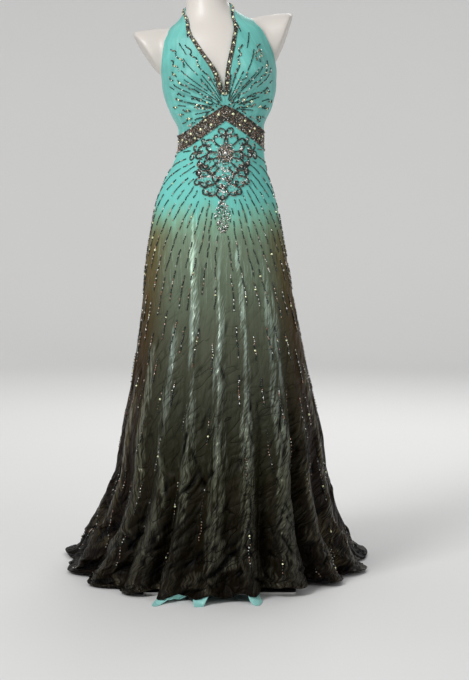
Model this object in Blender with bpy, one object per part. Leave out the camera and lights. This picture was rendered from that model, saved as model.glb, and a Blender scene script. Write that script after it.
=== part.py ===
"""Halter evening gown with a sweep train, worn by a limbless dress form on a square base.

Metres, +Z up. The gown's front faces -Y and the wearer's left is +X. The origin is the centre of
the base's underside. Run it with: blender --background --python part.py

Each cloth piece is a wall of even thickness about a surface that formulas give from the tables
below. A point of the figure is found in two steps: where it lies in a plain upright figure, then
how the stance moves it, with its shoulder line sloping and its front turned a little to +X.
"""

import math
from typing import NamedTuple

import bmesh
import bpy
import numpy as np
from mathutils import Matrix, Vector

# ---------------------------------------------------------------- driving sizes

SEAM_GAP = 0.0003
CLOTH_THICK = 0.0016
SKIRT_THICK = 0.0020
BAND_THICK = 0.0030
TRIM_THICK = 0.0022
TRIM_WIDTH = 0.0125
TRIM_GAP = 0.0005
LINING_THICK = 0.0012
FORM_EASE = 0.0026

BAND_TOP_FRONT, BAND_TOP_DROP = 1.206, 0.067
BAND_LOW_FRONT, BAND_LOW_DROP = 1.168, 0.074
BAND_BACK_TOP, BAND_BACK_LOW = 1.126, 1.084

SIDE_SEAM = 75.0
BUST_ANGLE, BUST_SPREAD = 31.0, 20.0
BUST_HEIGHT, BUST_RISE, BUST_FALL = 1.278, 0.050, 0.042
BUST_DEPTH = 0.026

FLOOR_GAP = 0.0016
FOOT_BEND = 0.022
KNEE = 0.050
FOOT_FLATTENS = 0.7
HEM_WAVE, HEM_WAVES, HEM_WAVE_SWAY = 0.020, 11.0, 40.0
HEM_WAVE_TALL, HEM_WAVE_RUN = 0.16, 0.10

FORM_TOP, FORM_BOTTOM = 1.545, 0.800
ARM_CUT_TOP, ARM_CUT_LOW = (0.2075, 1.412), (0.143, 1.298)
ARM_CUT_FORWARD = 0.10

BASE_SIDE, BASE_THICK, BASE_CORNER = 0.380, 0.008, 0.012
POLE_RADIUS, COLLAR_RADIUS, COLLAR_TALL = 0.0125, 0.030, 0.028
FLANGE_RADIUS, FLANGE_THICK = 0.060, 0.010

NAPE_TOP, NAPE_LOW, NAPE_HALF_ANGLE = 1.46088, 1.44954, 11.0


# ---------------------------------------------------------------- tables


class Ring(NamedTuple):
    """One level section of the cloth: where it is widest, and how far it reaches each way."""

    height: float
    half_width: float
    front: float
    back: float
    widest: float


RINGS = (
    Ring(0.000, 0.372, 0.272, 0.600, 0.300),
    Ring(0.060, 0.350, 0.268, 0.550, 0.240),
    Ring(0.130, 0.309, 0.262, 0.500, 0.190),
    Ring(0.200, 0.285, 0.254, 0.442, 0.150),
    Ring(0.270, 0.266, 0.244, 0.390, 0.115),
    Ring(0.380, 0.253, 0.226, 0.325, 0.075),
    Ring(0.500, 0.229, 0.203, 0.270, 0.042),
    Ring(0.620, 0.2075, 0.176, 0.222, 0.020),
    Ring(0.740, 0.1890, 0.148, 0.180, 0.008),
    Ring(0.840, 0.1755, 0.124, 0.148, 0.000),
    Ring(0.910, 0.1630, 0.112, 0.130, 0.000),
    Ring(0.970, 0.1510, 0.104, 0.114, 0.000),
    Ring(1.020, 0.1335, 0.098, 0.098, 0.000),
    Ring(1.065, 0.1160, 0.093, 0.087, 0.000),
    Ring(1.110, 0.1070, 0.091, 0.081, 0.000),
    Ring(1.150, 0.1070, 0.093, 0.083, 0.000),
    Ring(1.200, 0.1280, 0.098, 0.092, 0.000),
    Ring(1.250, 0.1410, 0.101, 0.099, 0.000),
    Ring(1.300, 0.1445, 0.102, 0.103, 0.000),
    Ring(1.345, 0.1480, 0.096, 0.104, 0.000),
    Ring(1.380, 0.1440, 0.086, 0.101, 0.000),
    Ring(1.402, 0.1220, 0.075, 0.093, 0.000),
    Ring(1.420, 0.0920, 0.065, 0.081, 0.000),
    Ring(1.440, 0.0675, 0.058, 0.067, 0.000),
    Ring(1.462, 0.0560, 0.053, 0.057, 0.000),
    Ring(1.490, 0.0525, 0.051, 0.051, 0.000),
    Ring(1.560, 0.0510, 0.050, 0.050, 0.000),
)


class Hip(NamedTuple):
    """A section of the form below the waist, where it leaves the skirt."""

    height: float
    half_width: float
    front: float
    back: float


FORM_HIPS = (
    Hip(0.800, 0.1430, 0.090, 0.108),
    Hip(0.860, 0.1520, 0.098, 0.118),
    Hip(0.920, 0.1500, 0.102, 0.119),
    Hip(0.970, 0.1430, 0.099, 0.108),
    Hip(1.020, 0.1285, 0.095, 0.095),
)


class Stance(NamedTuple):
    """How the figure stands at one height: its centre line, its turn and its sideways slope."""

    height: float
    centre: float
    turn: float
    slope: float


STANCE = (
    Stance(0.000, -0.012, 1.0, 0.000),
    Stance(0.120, -0.006, 1.5, 0.000),
    Stance(0.300, 0.003, 2.0, 0.000),
    Stance(0.600, -0.001, 5.0, 0.000),
    Stance(0.860, -0.0085, 8.0, 0.000),
    Stance(1.000, -0.009, 9.0, 0.012),
    Stance(1.120, 0.003, 8.0, 0.040),
    Stance(1.200, 0.003, 6.5, 0.064),
    Stance(1.270, -0.001, 4.5, 0.096),
    Stance(1.345, -0.011, 2.0, 0.118),
    Stance(1.420, -0.025, 1.0, 0.123),
    Stance(1.462, -0.032, 1.0, 0.123),
    Stance(1.490, -0.035, 1.0, 0.123),
    Stance(1.560, -0.043, 1.0, 0.123),
)


class Fold(NamedTuple):
    """A ridge (depth above zero) or trough that runs down to the hem, as seen at the hem."""

    angle: float
    half_width: float
    depth: float
    top: float
    lean: float


class Hem(NamedTuple):
    """How far the cloth runs on over the floor at a ring angle; below zero it stops above it."""

    angle: float
    run: float


HEMS = (
    Hem(-180.0, 0.200),
    Hem(-150.0, 0.160),
    Hem(-120.0, 0.070),
    Hem(-95.0, 0.036),
    Hem(-75.0, 0.028),
    Hem(-50.0, 0.024),
    Hem(-34.0, 0.014),
    Hem(-22.0, 0.004),
    Hem(-6.0, -0.002),
    Hem(14.0, -0.002),
    Hem(26.0, -0.010),
    Hem(38.0, -0.012),
    Hem(49.0, 0.008),
    Hem(60.0, 0.022),
    Hem(75.0, 0.028),
    Hem(95.0, 0.036),
    Hem(120.0, 0.070),
    Hem(150.0, 0.160),
    Hem(180.0, 0.200),
)

FRONT_FOLDS = (
    Fold(-19.5, 6.0, 0.024, 0.98, -5.0),
    Fold(-12.0, 4.5, -0.012, 0.55, -3.0),
    Fold(-4.5, 5.5, 0.022, 0.95, 0.0),
    Fold(3.0, 4.5, -0.014, 0.62, 1.0),
    Fold(10.5, 5.0, 0.018, 0.90, 3.0),
    Fold(19.0, 5.5, -0.050, 0.55, 6.0),
    Fold(30.0, 8.0, 0.012, 0.88, 8.0),
    Fold(41.0, 6.0, -0.060, 0.66, 8.0),
    Fold(50.0, 5.0, 0.012, 0.50, 6.0),
    Fold(59.0, 5.5, -0.026, 0.42, 6.0),
    Fold(69.0, 7.0, 0.016, 0.60, 6.0),
    Fold(-25.5, 4.5, -0.040, 0.42, -6.0),
    Fold(-33.5, 6.5, 0.012, 0.70, -8.0),
    Fold(-42.0, 5.0, -0.024, 0.40, -8.0),
    Fold(-51.0, 6.0, 0.016, 0.66, -8.0),
    Fold(-60.0, 6.0, -0.024, 0.36, -6.0),
    Fold(-69.0, 7.0, 0.016, 0.55, -6.0),
)


BACK_FOLD_FIRST, BACK_FOLD_STEP, BACK_FOLD_COUNT = 80.0, 13.2, 8
BACK_FOLD_DEPTHS = (-0.024, 0.018, -0.030, 0.022, -0.030, 0.030, -0.026, 0.030)
BACK_FOLD_TOPS = (0.50, 0.74, 0.58, 0.86, 0.52, 0.90, 0.60, 0.80)


class Edge(NamedTuple):
    """A row of the halter front: ring angle and height of its inner and its outer edge."""

    inner: float
    inner_height: float
    outer: float
    outer_height: float


HALTER = (
    Edge(0.0, 1.206, 112.0, 1.134),
    Edge(0.0, 1.237, 103.0, 1.190),
    Edge(3.6, 1.285, 94.0, 1.252),
    Edge(12.5, 1.340, 79.0, 1.300),
    Edge(21.0, 1.385, 62.0, 1.350),
    Edge(30.0, 1.412, 56.0, 1.388),
    Edge(46.0, 1.433, 66.0, 1.408),
    Edge(78.0, 1.452, 90.0, 1.420),
    Edge(112.0, 1.464, 118.0, 1.430),
    Edge(148.0, 1.474, 150.0, 1.440),
    Edge(180.0, 1.478, 180.0, 1.447),
)
V_TIP_ROW = 1


class LiningShow(NamedTuple):
    """Where the lining rolls out below the front hem, and how far against the table of rows."""

    angle: float
    half_width: float
    reach: float


LINING_SHOWS = (
    LiningShow(-20.9, 3.6, 0.95),
    LiningShow(-15.4, 3.4, 0.50),
    LiningShow(-6.6, 3.8, 1.05),
    LiningShow(14.3, 4.8, 1.30),
)
LINING_ROUNDED = 1.45
LINING_FIRST, LINING_LAST, LINING_SLACK = -24.2, 22.0, 0.0022


class LiningRow(NamedTuple):
    """A row of the lining, as a share of the way from the knee to the skirt's hem."""

    row: float
    hidden: float
    shown: float


LINING_ROWS = (
    LiningRow(0, 0.00, 0.00),
    LiningRow(1, 0.28, 0.28),
    LiningRow(2, 0.55, 0.55),
    LiningRow(3, 0.80, 0.80),
    LiningRow(4, 0.86, 1.02),
    LiningRow(5, 0.92, 1.60),
)


class ArmSection(NamedTuple):
    """An oval section of the shoulder, at one distance from the figure's centre plane."""

    out: float
    height: float
    half_tall: float
    half_deep: float
    centre_y: float


ARM_SECTIONS = (
    ArmSection(0.040, 1.370, 0.036, 0.040, 0.018),
    ArmSection(0.080, 1.368, 0.0475, 0.046, 0.018),
    ArmSection(0.115, 1.365, 0.0550, 0.050, 0.016),
    ArmSection(0.150, 1.362, 0.0590, 0.053, 0.012),
    ArmSection(0.180, 1.360, 0.0600, 0.053, 0.008),
    ArmSection(0.230, 1.356, 0.0580, 0.050, 0.004),
)


# ---------------------------------------------------------------- interpolation


def track(rows, column):
    """A smooth curve through one column of a table, which never overshoots its values."""
    at = np.array([row[0] for row in rows], float)
    value = np.array([getattr(row, column) for row in rows], float)
    return curve(at, value)


def curve(at, value):
    """A monotone cubic through the points (at, value), held level past its ends."""
    step = np.diff(at)
    rise = np.diff(value) / step
    slope = np.zeros(len(at))
    slope[0], slope[-1] = rise[0], rise[-1]
    for i in range(1, len(at) - 1):
        if rise[i - 1] * rise[i] > 0:
            w_a, w_b = 2 * step[i] + step[i - 1], step[i] + 2 * step[i - 1]
            slope[i] = (w_a + w_b) / (w_a / rise[i - 1] + w_b / rise[i])

    def read(x):
        x = np.clip(np.asarray(x, float), at[0], at[-1])
        i = np.clip(np.searchsorted(at, x) - 1, 0, len(at) - 2)
        t = (x - at[i]) / step[i]
        return (
            value[i] * (2 * t**3 - 3 * t**2 + 1)
            + value[i + 1] * (3 * t**2 - 2 * t**3)
            + slope[i] * step[i] * (t**3 - 2 * t**2 + t)
            + slope[i + 1] * step[i] * (t**3 - t**2)
        )

    return read


def ease(x):
    """A smooth step from 0 to 1."""
    x = np.clip(x, 0.0, 1.0)
    return x * x * (3 - 2 * x)


ring_half_width = track(RINGS, "half_width")
ring_front = track(RINGS, "front")
ring_back = track(RINGS, "back")
ring_widest = track(RINGS, "widest")
hip_half_width = track(FORM_HIPS, "half_width")
hip_front = track(FORM_HIPS, "front")
hip_back = track(FORM_HIPS, "back")
hem_run = track(HEMS, "run")
lining_hidden = track(LINING_ROWS, "hidden")
lining_shown = track(LINING_ROWS, "shown")
stance_centre = track(STANCE, "centre")
stance_turn = track(STANCE, "turn")
stance_slope = track(STANCE, "slope")


# ---------------------------------------------------------------- surfaces


def posed(x, y, height, centre_y=0.0):
    """Moves points of the upright figure to where its stance puts them."""
    turn = np.radians(stance_turn(height))
    ahead = y - centre_y
    across = x * np.cos(turn) - ahead * np.sin(turn)
    along = x * np.sin(turn) + ahead * np.cos(turn) + centre_y
    lifted = height + stance_slope(height) * across
    return np.stack([across + stance_centre(height), along, lifted], axis=-1)


def bust(angle, height):
    """How far the cups stand out of the plain ring."""
    side = np.exp(-(((np.abs(angle) - BUST_ANGLE) / BUST_SPREAD) ** 2))
    tall = np.where(height > BUST_HEIGHT, BUST_RISE, BUST_FALL)
    return BUST_DEPTH * side * np.exp(-(((height - BUST_HEIGHT) / tall) ** 2))


def section(angle, height, half_width, front, back, widest, out):
    """A point of a level oval that reaches front and back by different amounts."""
    turned = np.radians(angle)
    forward = np.cos(turned)
    depth = np.where(forward > 0, front + widest, back - widest) + out
    return (half_width + out) * np.sin(turned), widest - depth * forward


def figure(angle, height):
    """The cloth's surface where it follows the figure."""
    angle, height = np.broadcast_arrays(np.asarray(angle, float), np.asarray(height, float))
    x, y = section(
        angle,
        height,
        ring_half_width(height),
        ring_front(height),
        ring_back(height),
        ring_widest(height),
        bust(angle, height),
    )
    return posed(x, y, height)


def wrapped(angle):
    """The angle, in degrees, brought into -180 to 180."""
    return (np.asarray(angle, float) + 180.0) % 360.0 - 180.0


def back_folds():
    """The folds of the train: the same run of depths on both sides, a little out of step."""
    rows = []
    for i in range(BACK_FOLD_COUNT):
        angle = BACK_FOLD_FIRST + BACK_FOLD_STEP * i
        width = BACK_FOLD_STEP * (0.62 if BACK_FOLD_DEPTHS[i] > 0 else 0.50)
        mirror = (i + 3) % BACK_FOLD_COUNT
        rows.append(Fold(angle, width, BACK_FOLD_DEPTHS[i], BACK_FOLD_TOPS[i], 3.0))
        depth = math.copysign(BACK_FOLD_DEPTHS[mirror], BACK_FOLD_DEPTHS[i])
        rows.append(Fold(-angle - 4.0, width, depth, BACK_FOLD_TOPS[mirror], -3.0))
    return tuple(rows)


FOLDS = FRONT_FOLDS + back_folds()


def fold_depth(angle, height):
    """How far all folds together move the skirt out at this place."""
    total = np.zeros(np.broadcast(angle, height).shape)
    for fold in FOLDS:
        fade = ease((fold.top - height) / fold.top) ** 0.85
        away = np.abs(wrapped(angle - fold.angle - fold.lean * height)) / fold.half_width
        total += fold.depth * fade * np.where(away < 1, np.cos(away * math.pi / 2) ** 2, 0.0)
    behind = ease((np.abs(wrapped(angle)) - 75.0) / 20.0)
    return total * (1 - FOOT_FLATTENS * behind * (1 - ease(height / 0.12)))


def skirt(angle, hang):
    """The skirt at a ring angle, where the cloth would hang at this height if the floor let it.

    Near the floor it bends outwards, and cloth that would hang below zero lies along the floor.
    """
    angle, hang = np.broadcast_arrays(np.asarray(angle, float), np.asarray(hang, float))
    bent = FOOT_BEND * np.log1p(np.exp(np.minimum(hang, 0.3) / FOOT_BEND))
    height = np.where(hang > 0.3, hang, bent)
    widest = ring_widest(height)
    x, y = section(
        angle,
        height,
        ring_half_width(height),
        ring_front(height),
        ring_back(height),
        widest,
        height - hang + fold_depth(angle, height) + bust(angle, height),
    )
    run = hem_run(wrapped(angle))
    sway = HEM_WAVE_SWAY * np.sin(np.radians(angle * 2.0))
    ripple = 0.5 + 0.5 * np.cos(np.radians(angle * HEM_WAVES + sway))
    to_hem = np.clip(1 - (hang + run) / HEM_WAVE_TALL, 0, 1) ** 2
    lift = HEM_WAVE * ripple * to_hem * ease(run / HEM_WAVE_RUN)
    points = posed(x, y, height, widest)
    points[..., 2] += FLOOR_GAP * (1 - ease(height / 0.3)) + lift
    return points


def skirt_hang(angle, level):
    """The hang at a row level: 0 at the band, 1 at the knee above the floor, 2 at the hem."""
    top = band_low(angle) - SEAM_GAP
    upper = top + (KNEE - top) * np.minimum(level, 1)
    return upper - (KNEE + hem_run(wrapped(angle))) * np.clip(level - 1, 0, 1)


def band_top(angle):
    """Upper edge of the waistband, an inverted V in front and level behind."""
    front = BAND_TOP_FRONT - BAND_TOP_DROP * np.abs(np.sin(np.radians(angle)))
    return band_edge(angle, front, BAND_TOP_FRONT - BAND_TOP_DROP, BAND_BACK_TOP)


def band_low(angle):
    """Lower edge of the waistband, where the skirt is sewn on."""
    front = BAND_LOW_FRONT - BAND_LOW_DROP * np.abs(np.sin(np.radians(angle)))
    return band_edge(angle, front, BAND_LOW_FRONT - BAND_LOW_DROP, BAND_BACK_LOW)


def band_edge(angle, front, side, back):
    """Joins the front's slope to the level of the back."""
    behind = np.abs(wrapped(angle)) > 90.0
    share = ease((np.abs(wrapped(angle)) - 90.0) / 70.0)
    return np.where(behind, side + (back - side) * share, front)


def halter_edge(name):
    """A smooth curve through one column of the halter's table, read by row number."""
    return curve(np.arange(len(HALTER)), np.array([getattr(row, name) for row in HALTER]))


halter_edges = {name: halter_edge(name) for name in Edge._fields}


def halter(side, across, row):
    """The halter front: across runs from its neck edge (0) to its arm edge (1)."""
    across, row = np.broadcast_arrays(np.asarray(across, float), np.asarray(row, float))
    inner, outer = halter_edges["inner"](row), halter_edges["outer"](row)
    low, high = halter_edges["outer_height"](row), halter_edges["inner_height"](row)
    angle = inner + (outer - inner) * across
    height = high + (low - high) * across
    first = HALTER[0]
    straight = first.inner_height + (first.outer_height - first.inner_height) * across
    seam_angle = first.inner + (first.outer - first.inner) * across
    sag = band_top(seam_angle) + SEAM_GAP - straight
    height = height + sag * np.clip(1 - row / 2.0, 0, 1) ** 2
    return figure(side * angle, height)


def lining(angle, row):
    """The lining behind the front hem, row by row from the knee down to its own edge.

    It is a little shorter than the skirt, but for a few places where it rolls out below the hem.
    """
    angle, row = np.broadcast_arrays(np.asarray(angle, float), np.asarray(row, float))
    show = np.zeros(angle.shape)
    for place in LINING_SHOWS:
        away = np.abs(angle - place.angle) / place.half_width
        lobe = np.minimum(1.0, LINING_ROUNDED * np.cos(away * math.pi / 2) ** 2)
        show += place.reach * np.where(away < 1, lobe, 0.0)
    share = lining_hidden(row) * (1 - show) + lining_shown(row) * show
    hang = KNEE - (KNEE + hem_run(wrapped(angle))) * share
    normal = surface_normals(skirt, angle, hang)
    inset = (SKIRT_THICK + LINING_THICK) / 2 + SEAM_GAP + LINING_SLACK * np.minimum(share, 1)
    return skirt(angle, hang) - normal * inset[..., None]


# ---------------------------------------------------------------- meshes


def clear_scene():
    """Removes whatever the start-up file holds."""
    for obj in list(bpy.data.objects):
        bpy.data.objects.remove(obj, do_unlink=True)


def material(name, colour, roughness, metallic=0.0):
    """A Principled BSDF of one colour."""
    made = bpy.data.materials.new(name)
    made.use_nodes = True
    shader = made.node_tree.nodes["Principled BSDF"]
    shader.inputs["Base Color"].default_value = (*colour, 1.0)
    shader.inputs["Roughness"].default_value = roughness
    shader.inputs["Metallic"].default_value = metallic
    return made


def add_object(name, mesh, finish, smooth_below=40.0):
    """Links a mesh as an object, with its material and smooth shading."""
    mesh.materials.append(finish)
    mesh.shade_smooth()
    mesh.set_sharp_from_angle(angle=math.radians(smooth_below))
    obj = bpy.data.objects.new(name, mesh)
    bpy.context.scene.collection.objects.link(obj)
    return obj


def surface_normals(surface, u, v, step=1e-3):
    """Unit normals of surface(u, v), facing away from the upright axis."""
    along_u = surface(u + step, v) - surface(u - step, v)
    along_v = surface(u, v + step) - surface(u, v - step)
    normal = np.cross(along_u, along_v)
    outward = np.sign((normal[..., :2] * surface(u, v)[..., :2]).sum())
    return outward * normal / np.linalg.norm(normal, axis=-1, keepdims=True)


def wall(name, surface, u, v, thick, finish, offset=0.0):
    """A closed wall about surface(u, v): u and v are grids, one row for each level."""
    middle = surface(u, v)
    normal = surface_normals(surface, u, v)
    outer = middle + normal * (offset + thick / 2)
    inner = middle + normal * (offset - thick / 2)
    rows, columns = u.shape
    bm = bmesh.new()
    sheets = [[[bm.verts.new(p) for p in line] for line in side] for side in (outer, inner)]
    for i in range(rows - 1):
        for j in range(columns - 1):
            for sheet in sheets:
                bm.faces.new((sheet[i][j], sheet[i][j + 1], sheet[i + 1][j + 1], sheet[i + 1][j]))
    rim = [(0, j) for j in range(columns)] + [(i, columns - 1) for i in range(1, rows)]
    rim += [(rows - 1, j) for j in range(columns - 2, -1, -1)] + [(i, 0) for i in range(rows - 2, 0, -1)]
    for (i, j), (k, m) in zip(rim, rim[1:] + rim[:1]):
        bm.faces.new((sheets[0][i][j], sheets[0][k][m], sheets[1][k][m], sheets[1][i][j]))
    bmesh.ops.recalc_face_normals(bm, faces=bm.faces)
    mesh = bpy.data.meshes.new(name)
    bm.to_mesh(mesh)
    bm.free()
    return add_object(name, mesh, finish)


def grid(columns, levels):
    """Grids of u and v from lists of columns and levels."""
    return np.meshgrid(np.asarray(columns, float), np.asarray(levels, float))


def trimmed(surface, u, v):
    """Moves the first and last columns in by half a seam gap, measured on the surface."""
    u = u.copy()
    for column, inward in ((0, 1.0), (-1, -1.0)):
        edge_u, edge_v = u[:, column], v[:, column]
        speed = np.linalg.norm(surface(edge_u + 0.05, edge_v) - surface(edge_u - 0.05, edge_v), axis=-1)
        u[:, column] += inward * (SEAM_GAP / 2) / (speed / 0.1)
    return u


# ---------------------------------------------------------------- gown


def spaced(start, end, step):
    """Even columns from start to end, about a step apart."""
    return np.linspace(start, end, max(2, round(abs(end - start) / step) + 1))


SKIRT_TOP_LEVELS = (0, 0.035, 0.07, 0.105, 0.145, 0.195, 0.26)
SKIRT_LOW_LEVELS = (0.34, 0.44, 0.55, 0.67, 0.78, 0.88, 1, 1.28, 1.55, 1.8, 2)


def skirt_panel(name, columns, finish):
    """One panel of the skirt between two seams."""
    angle, level = grid(columns, SKIRT_TOP_LEVELS + SKIRT_LOW_LEVELS)

    def panel(a, v):
        return skirt(a, skirt_hang(a, v))

    return wall(name, panel, trimmed(panel, angle, level), level, SKIRT_THICK, finish)


def skirt_panels(finish):
    """The front panel from side seam to side seam, and two back panels that carry the train."""
    fine = spaced(-44.0, 44.0, 2.2)
    sides = spaced(44.0, SIDE_SEAM, 3.4)[1:]
    front = np.concatenate([-sides[::-1], fine, sides])
    skirt_panel("skirt_front", front, finish)
    for name, side in (("skirt_back_left", 1), ("skirt_back_right", -1)):
        columns = spaced(SIDE_SEAM, 180.0, 3.7) * side
        skirt_panel(name, columns[::side], finish)


def waistbands(finish):
    """The beaded band: one inverted-V front, and two backs that meet over the back seam."""

    def band(angle, up):
        low = band_low(angle)
        return figure(angle, low + (band_top(angle) - low) * up)

    spans = (
        ("waistband_front", spaced(-SIDE_SEAM, SIDE_SEAM, 5.0)),
        ("waistband_back_left", spaced(SIDE_SEAM, 180.0, 7.0)),
        ("waistband_back_right", spaced(-180.0, -SIDE_SEAM, 7.0)),
    )
    for name, columns in spans:
        angle, up = grid(columns, np.linspace(0.0, 1.0, 3))
        angle = trimmed(band, angle, up)
        wall(name, band, angle, up, BAND_THICK, finish, offset=(BAND_THICK - CLOTH_THICK) / 2)


HALTER_LEVELS = (0, 0.4, 0.75, 1, 1.3, 1.6, 1.9, 2.2, 2.5, 2.8, 3.1, 3.4, 3.7, 4, 4.5, 5, 5.5)
STRAP_FROM, STRAP_STEPS = 6, 12


def bodice(finish, trim_finish):
    """Two halter fronts, each with its beaded neck edging laid on it."""
    rows = np.concatenate([HALTER_LEVELS, np.linspace(STRAP_FROM, len(HALTER) - 1, STRAP_STEPS + 1)])
    rows[-1] -= 0.004
    for name, side in (("left", 1), ("right", -1)):

        def front(u, v, side=side):
            return halter(side, u, v)

        u, v = grid(np.linspace(0.0, 1.0, 12), rows)
        width = np.linalg.norm(front(1.0, rows) - front(0.0, rows), axis=-1)
        to_middle = np.where(v <= V_TIP_ROW, 1.0, 0.0)
        u = u + to_middle * (1 - u) * (SEAM_GAP / width)[:, None]
        wall(f"bodice_{name}", front, u, v, CLOTH_THICK, finish)
        neckline_trim(f"neckline_trim_{name}", front, rows, trim_finish)


def neckline_trim(name, front, rows, finish):
    """A strip along the neck edge, as wide as its beading and laid on the bodice."""
    rows = rows[rows > V_TIP_ROW - 0.3]
    width = np.linalg.norm(front(1.0, rows) - front(0.0, rows), axis=-1)
    wanted = np.full(len(rows), TRIM_WIDTH)
    wanted[:2] = TRIM_WIDTH * 0.35, TRIM_WIDTH * 0.75
    rows[-1] -= 0.02
    share, v = grid(np.linspace(0.0, 1.0, 3), rows)
    u = (SEAM_GAP + share * wanted[:, None]) / width[:, None]
    offset = (CLOTH_THICK + TRIM_THICK) / 2 + TRIM_GAP
    wall(name, front, u, v, TRIM_THICK, finish, offset=offset)


def nape_fastening(finish):
    """The short tab that closes the straps at the nape, laid over both ends."""

    def tab(u, v):
        return figure(180.0 + u, v)

    columns = np.linspace(-NAPE_HALF_ANGLE, NAPE_HALF_ANGLE, 7)
    u, v = grid(columns, np.linspace(NAPE_TOP, NAPE_LOW, 3))
    offset = (CLOTH_THICK + TRIM_THICK) / 2 + SEAM_GAP
    wall("nape_fastening", tab, u, v, TRIM_THICK, finish, offset=offset)


def lining_hem(finish):
    """The strip of lining that shows under the front hem."""
    angle, row = grid(spaced(LINING_FIRST, LINING_LAST, 2.2), range(len(LINING_ROWS)))
    wall("lining_hem", lining, angle, row, LINING_THICK, finish)


# ---------------------------------------------------------------- dress form and stand


def form_ring(height, angles):
    """A ring of the form: the figure less its ease, or its own hips where the skirt flares."""
    low = ease((height - 0.97) / 0.05)
    half = hip_half_width(height) * (1 - low) + (ring_half_width(height) - FORM_EASE) * low
    front = hip_front(height) * (1 - low) + (ring_front(height) - FORM_EASE) * low
    back = hip_back(height) * (1 - low) + (ring_back(height) - FORM_EASE) * low
    x, y = section(angles, height, half, front, back, 0.0, bust(angles, height))
    return posed(x, y, np.full(len(angles), height))


def closed_loft(rings):
    """A closed solid through rings of points, with flat ends."""
    bm = bmesh.new()
    loops = [[bm.verts.new(p) for p in ring] for ring in rings]
    count = len(loops[0])
    for low, high in zip(loops, loops[1:]):
        for j in range(count):
            k = (j + 1) % count
            bm.faces.new((low[j], low[k], high[k], high[j]))
    bm.faces.new(loops[0][::-1])
    bm.faces.new(loops[-1])
    bmesh.ops.recalc_face_normals(bm, faces=bm.faces)
    return bm


def torso():
    """Neck, chest, waist and hips as one loft, its two ends rounded over."""
    angles = np.linspace(-180.0, 180.0, 37)[:-1]
    levels = list(np.linspace(FORM_BOTTOM + 0.012, 0.970, 5)) + list(np.linspace(0.995, 1.180, 9))
    levels += list(np.linspace(1.198, 1.386, 12)) + list(np.linspace(1.397, 1.463, 7))
    levels += [1.485, 1.512, FORM_TOP - 0.010]
    rings = [form_ring(z, angles) for z in levels]
    rings.insert(0, rounded_end(rings[0], -0.012))
    rings.append(rounded_end(rings[-1], 0.010))
    return closed_loft(rings)


def rounded_end(ring, rise):
    """The ring that ends a loft: drawn in by as much as it rises or falls."""
    centre = ring.mean(axis=0)
    radius = np.linalg.norm(ring - centre, axis=1, keepdims=True)
    end = centre + (ring - centre) * (1 - abs(rise) / radius)
    end[:, 2] += rise
    return end


def shoulder(side):
    """A shoulder, cut off flat at the arm line with its rim rounded."""
    turn = np.linspace(0, 2 * math.pi, 29)[:-1]
    rings = []
    for row in ARM_SECTIONS:
        y = row.centre_y + row.half_deep * np.cos(turn)
        z = row.height + row.half_tall * np.sin(turn)
        rings.append(np.stack([np.full(len(turn), side * row.out), y, z], axis=-1))
    bm = closed_loft(rings)
    (top_x, top_z), (low_x, low_z) = ARM_CUT_TOP, ARM_CUT_LOW
    along = Vector((side * (top_x - low_x), 0, top_z - low_z)).normalized()
    normal = Vector((along.z * side, -ARM_CUT_FORWARD, -along.x * side)).normalized()
    geometry = bm.verts[:] + bm.edges[:] + bm.faces[:]
    point = Vector((side * top_x, 0, top_z))
    cut = bmesh.ops.bisect_plane(bm, geom=geometry, plane_co=point, plane_no=normal, clear_outer=True)
    rim = [e for e in cut["geom_cut"] if isinstance(e, bmesh.types.BMEdge)]
    bmesh.ops.holes_fill(bm, edges=rim, sides=0)
    bmesh.ops.bevel(bm, geom=rim, offset=0.006, segments=2, profile=0.5, affect="EDGES")
    for vert in bm.verts:
        x, y, z = vert.co
        vert.co = posed(np.float64(x), np.float64(y), np.float64(z))
    bmesh.ops.recalc_face_normals(bm, faces=bm.faces)
    return bm


def mesh_object(name, bm, finish):
    """Turns a bmesh into a linked object."""
    mesh = bpy.data.meshes.new(name)
    bm.to_mesh(mesh)
    bm.free()
    return add_object(name, mesh, finish)


def dress_form(finish):
    """The torso with both shoulders joined to it."""
    form = mesh_object("dress_form", torso(), finish)
    for side in (1, -1):
        piece = mesh_object(f"shoulder_{side}", shoulder(side), finish)
        piece.hide_render = True
        piece.display_type = "WIRE"
        join = form.modifiers.new(f"Shoulder {side}", "BOOLEAN")
        join.operation = "UNION"
        join.solver = "EXACT"
        join.object = piece
    return form


def disc(name, radius, low, high, finish, hole=0.0, bevel=0.0015):
    """A round plate or tube about the pole's axis, with its outer edges eased."""
    bm = bmesh.new()
    corners = [(radius - bevel, low), (radius, low + bevel), (radius, high - bevel), (radius - bevel, high)]
    if hole:
        corners += [(hole, high), (hole, low)]
    turn = np.linspace(0, 2 * math.pi, 25)[:-1]
    loops = [[bm.verts.new((r * math.cos(t), r * math.sin(t), z)) for t in turn] for r, z in corners]
    pairs = list(zip(loops, loops[1:]))
    if hole:
        pairs.append((loops[-1], loops[0]))
    else:
        bm.faces.new(loops[0])
        bm.faces.new(loops[-1])
    for a, b in pairs:
        for j in range(len(turn)):
            k = (j + 1) % len(turn)
            bm.faces.new((a[j], a[k], b[k], b[j]))
    bmesh.ops.recalc_face_normals(bm, faces=bm.faces)
    return mesh_object(name, bm, finish)


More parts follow.
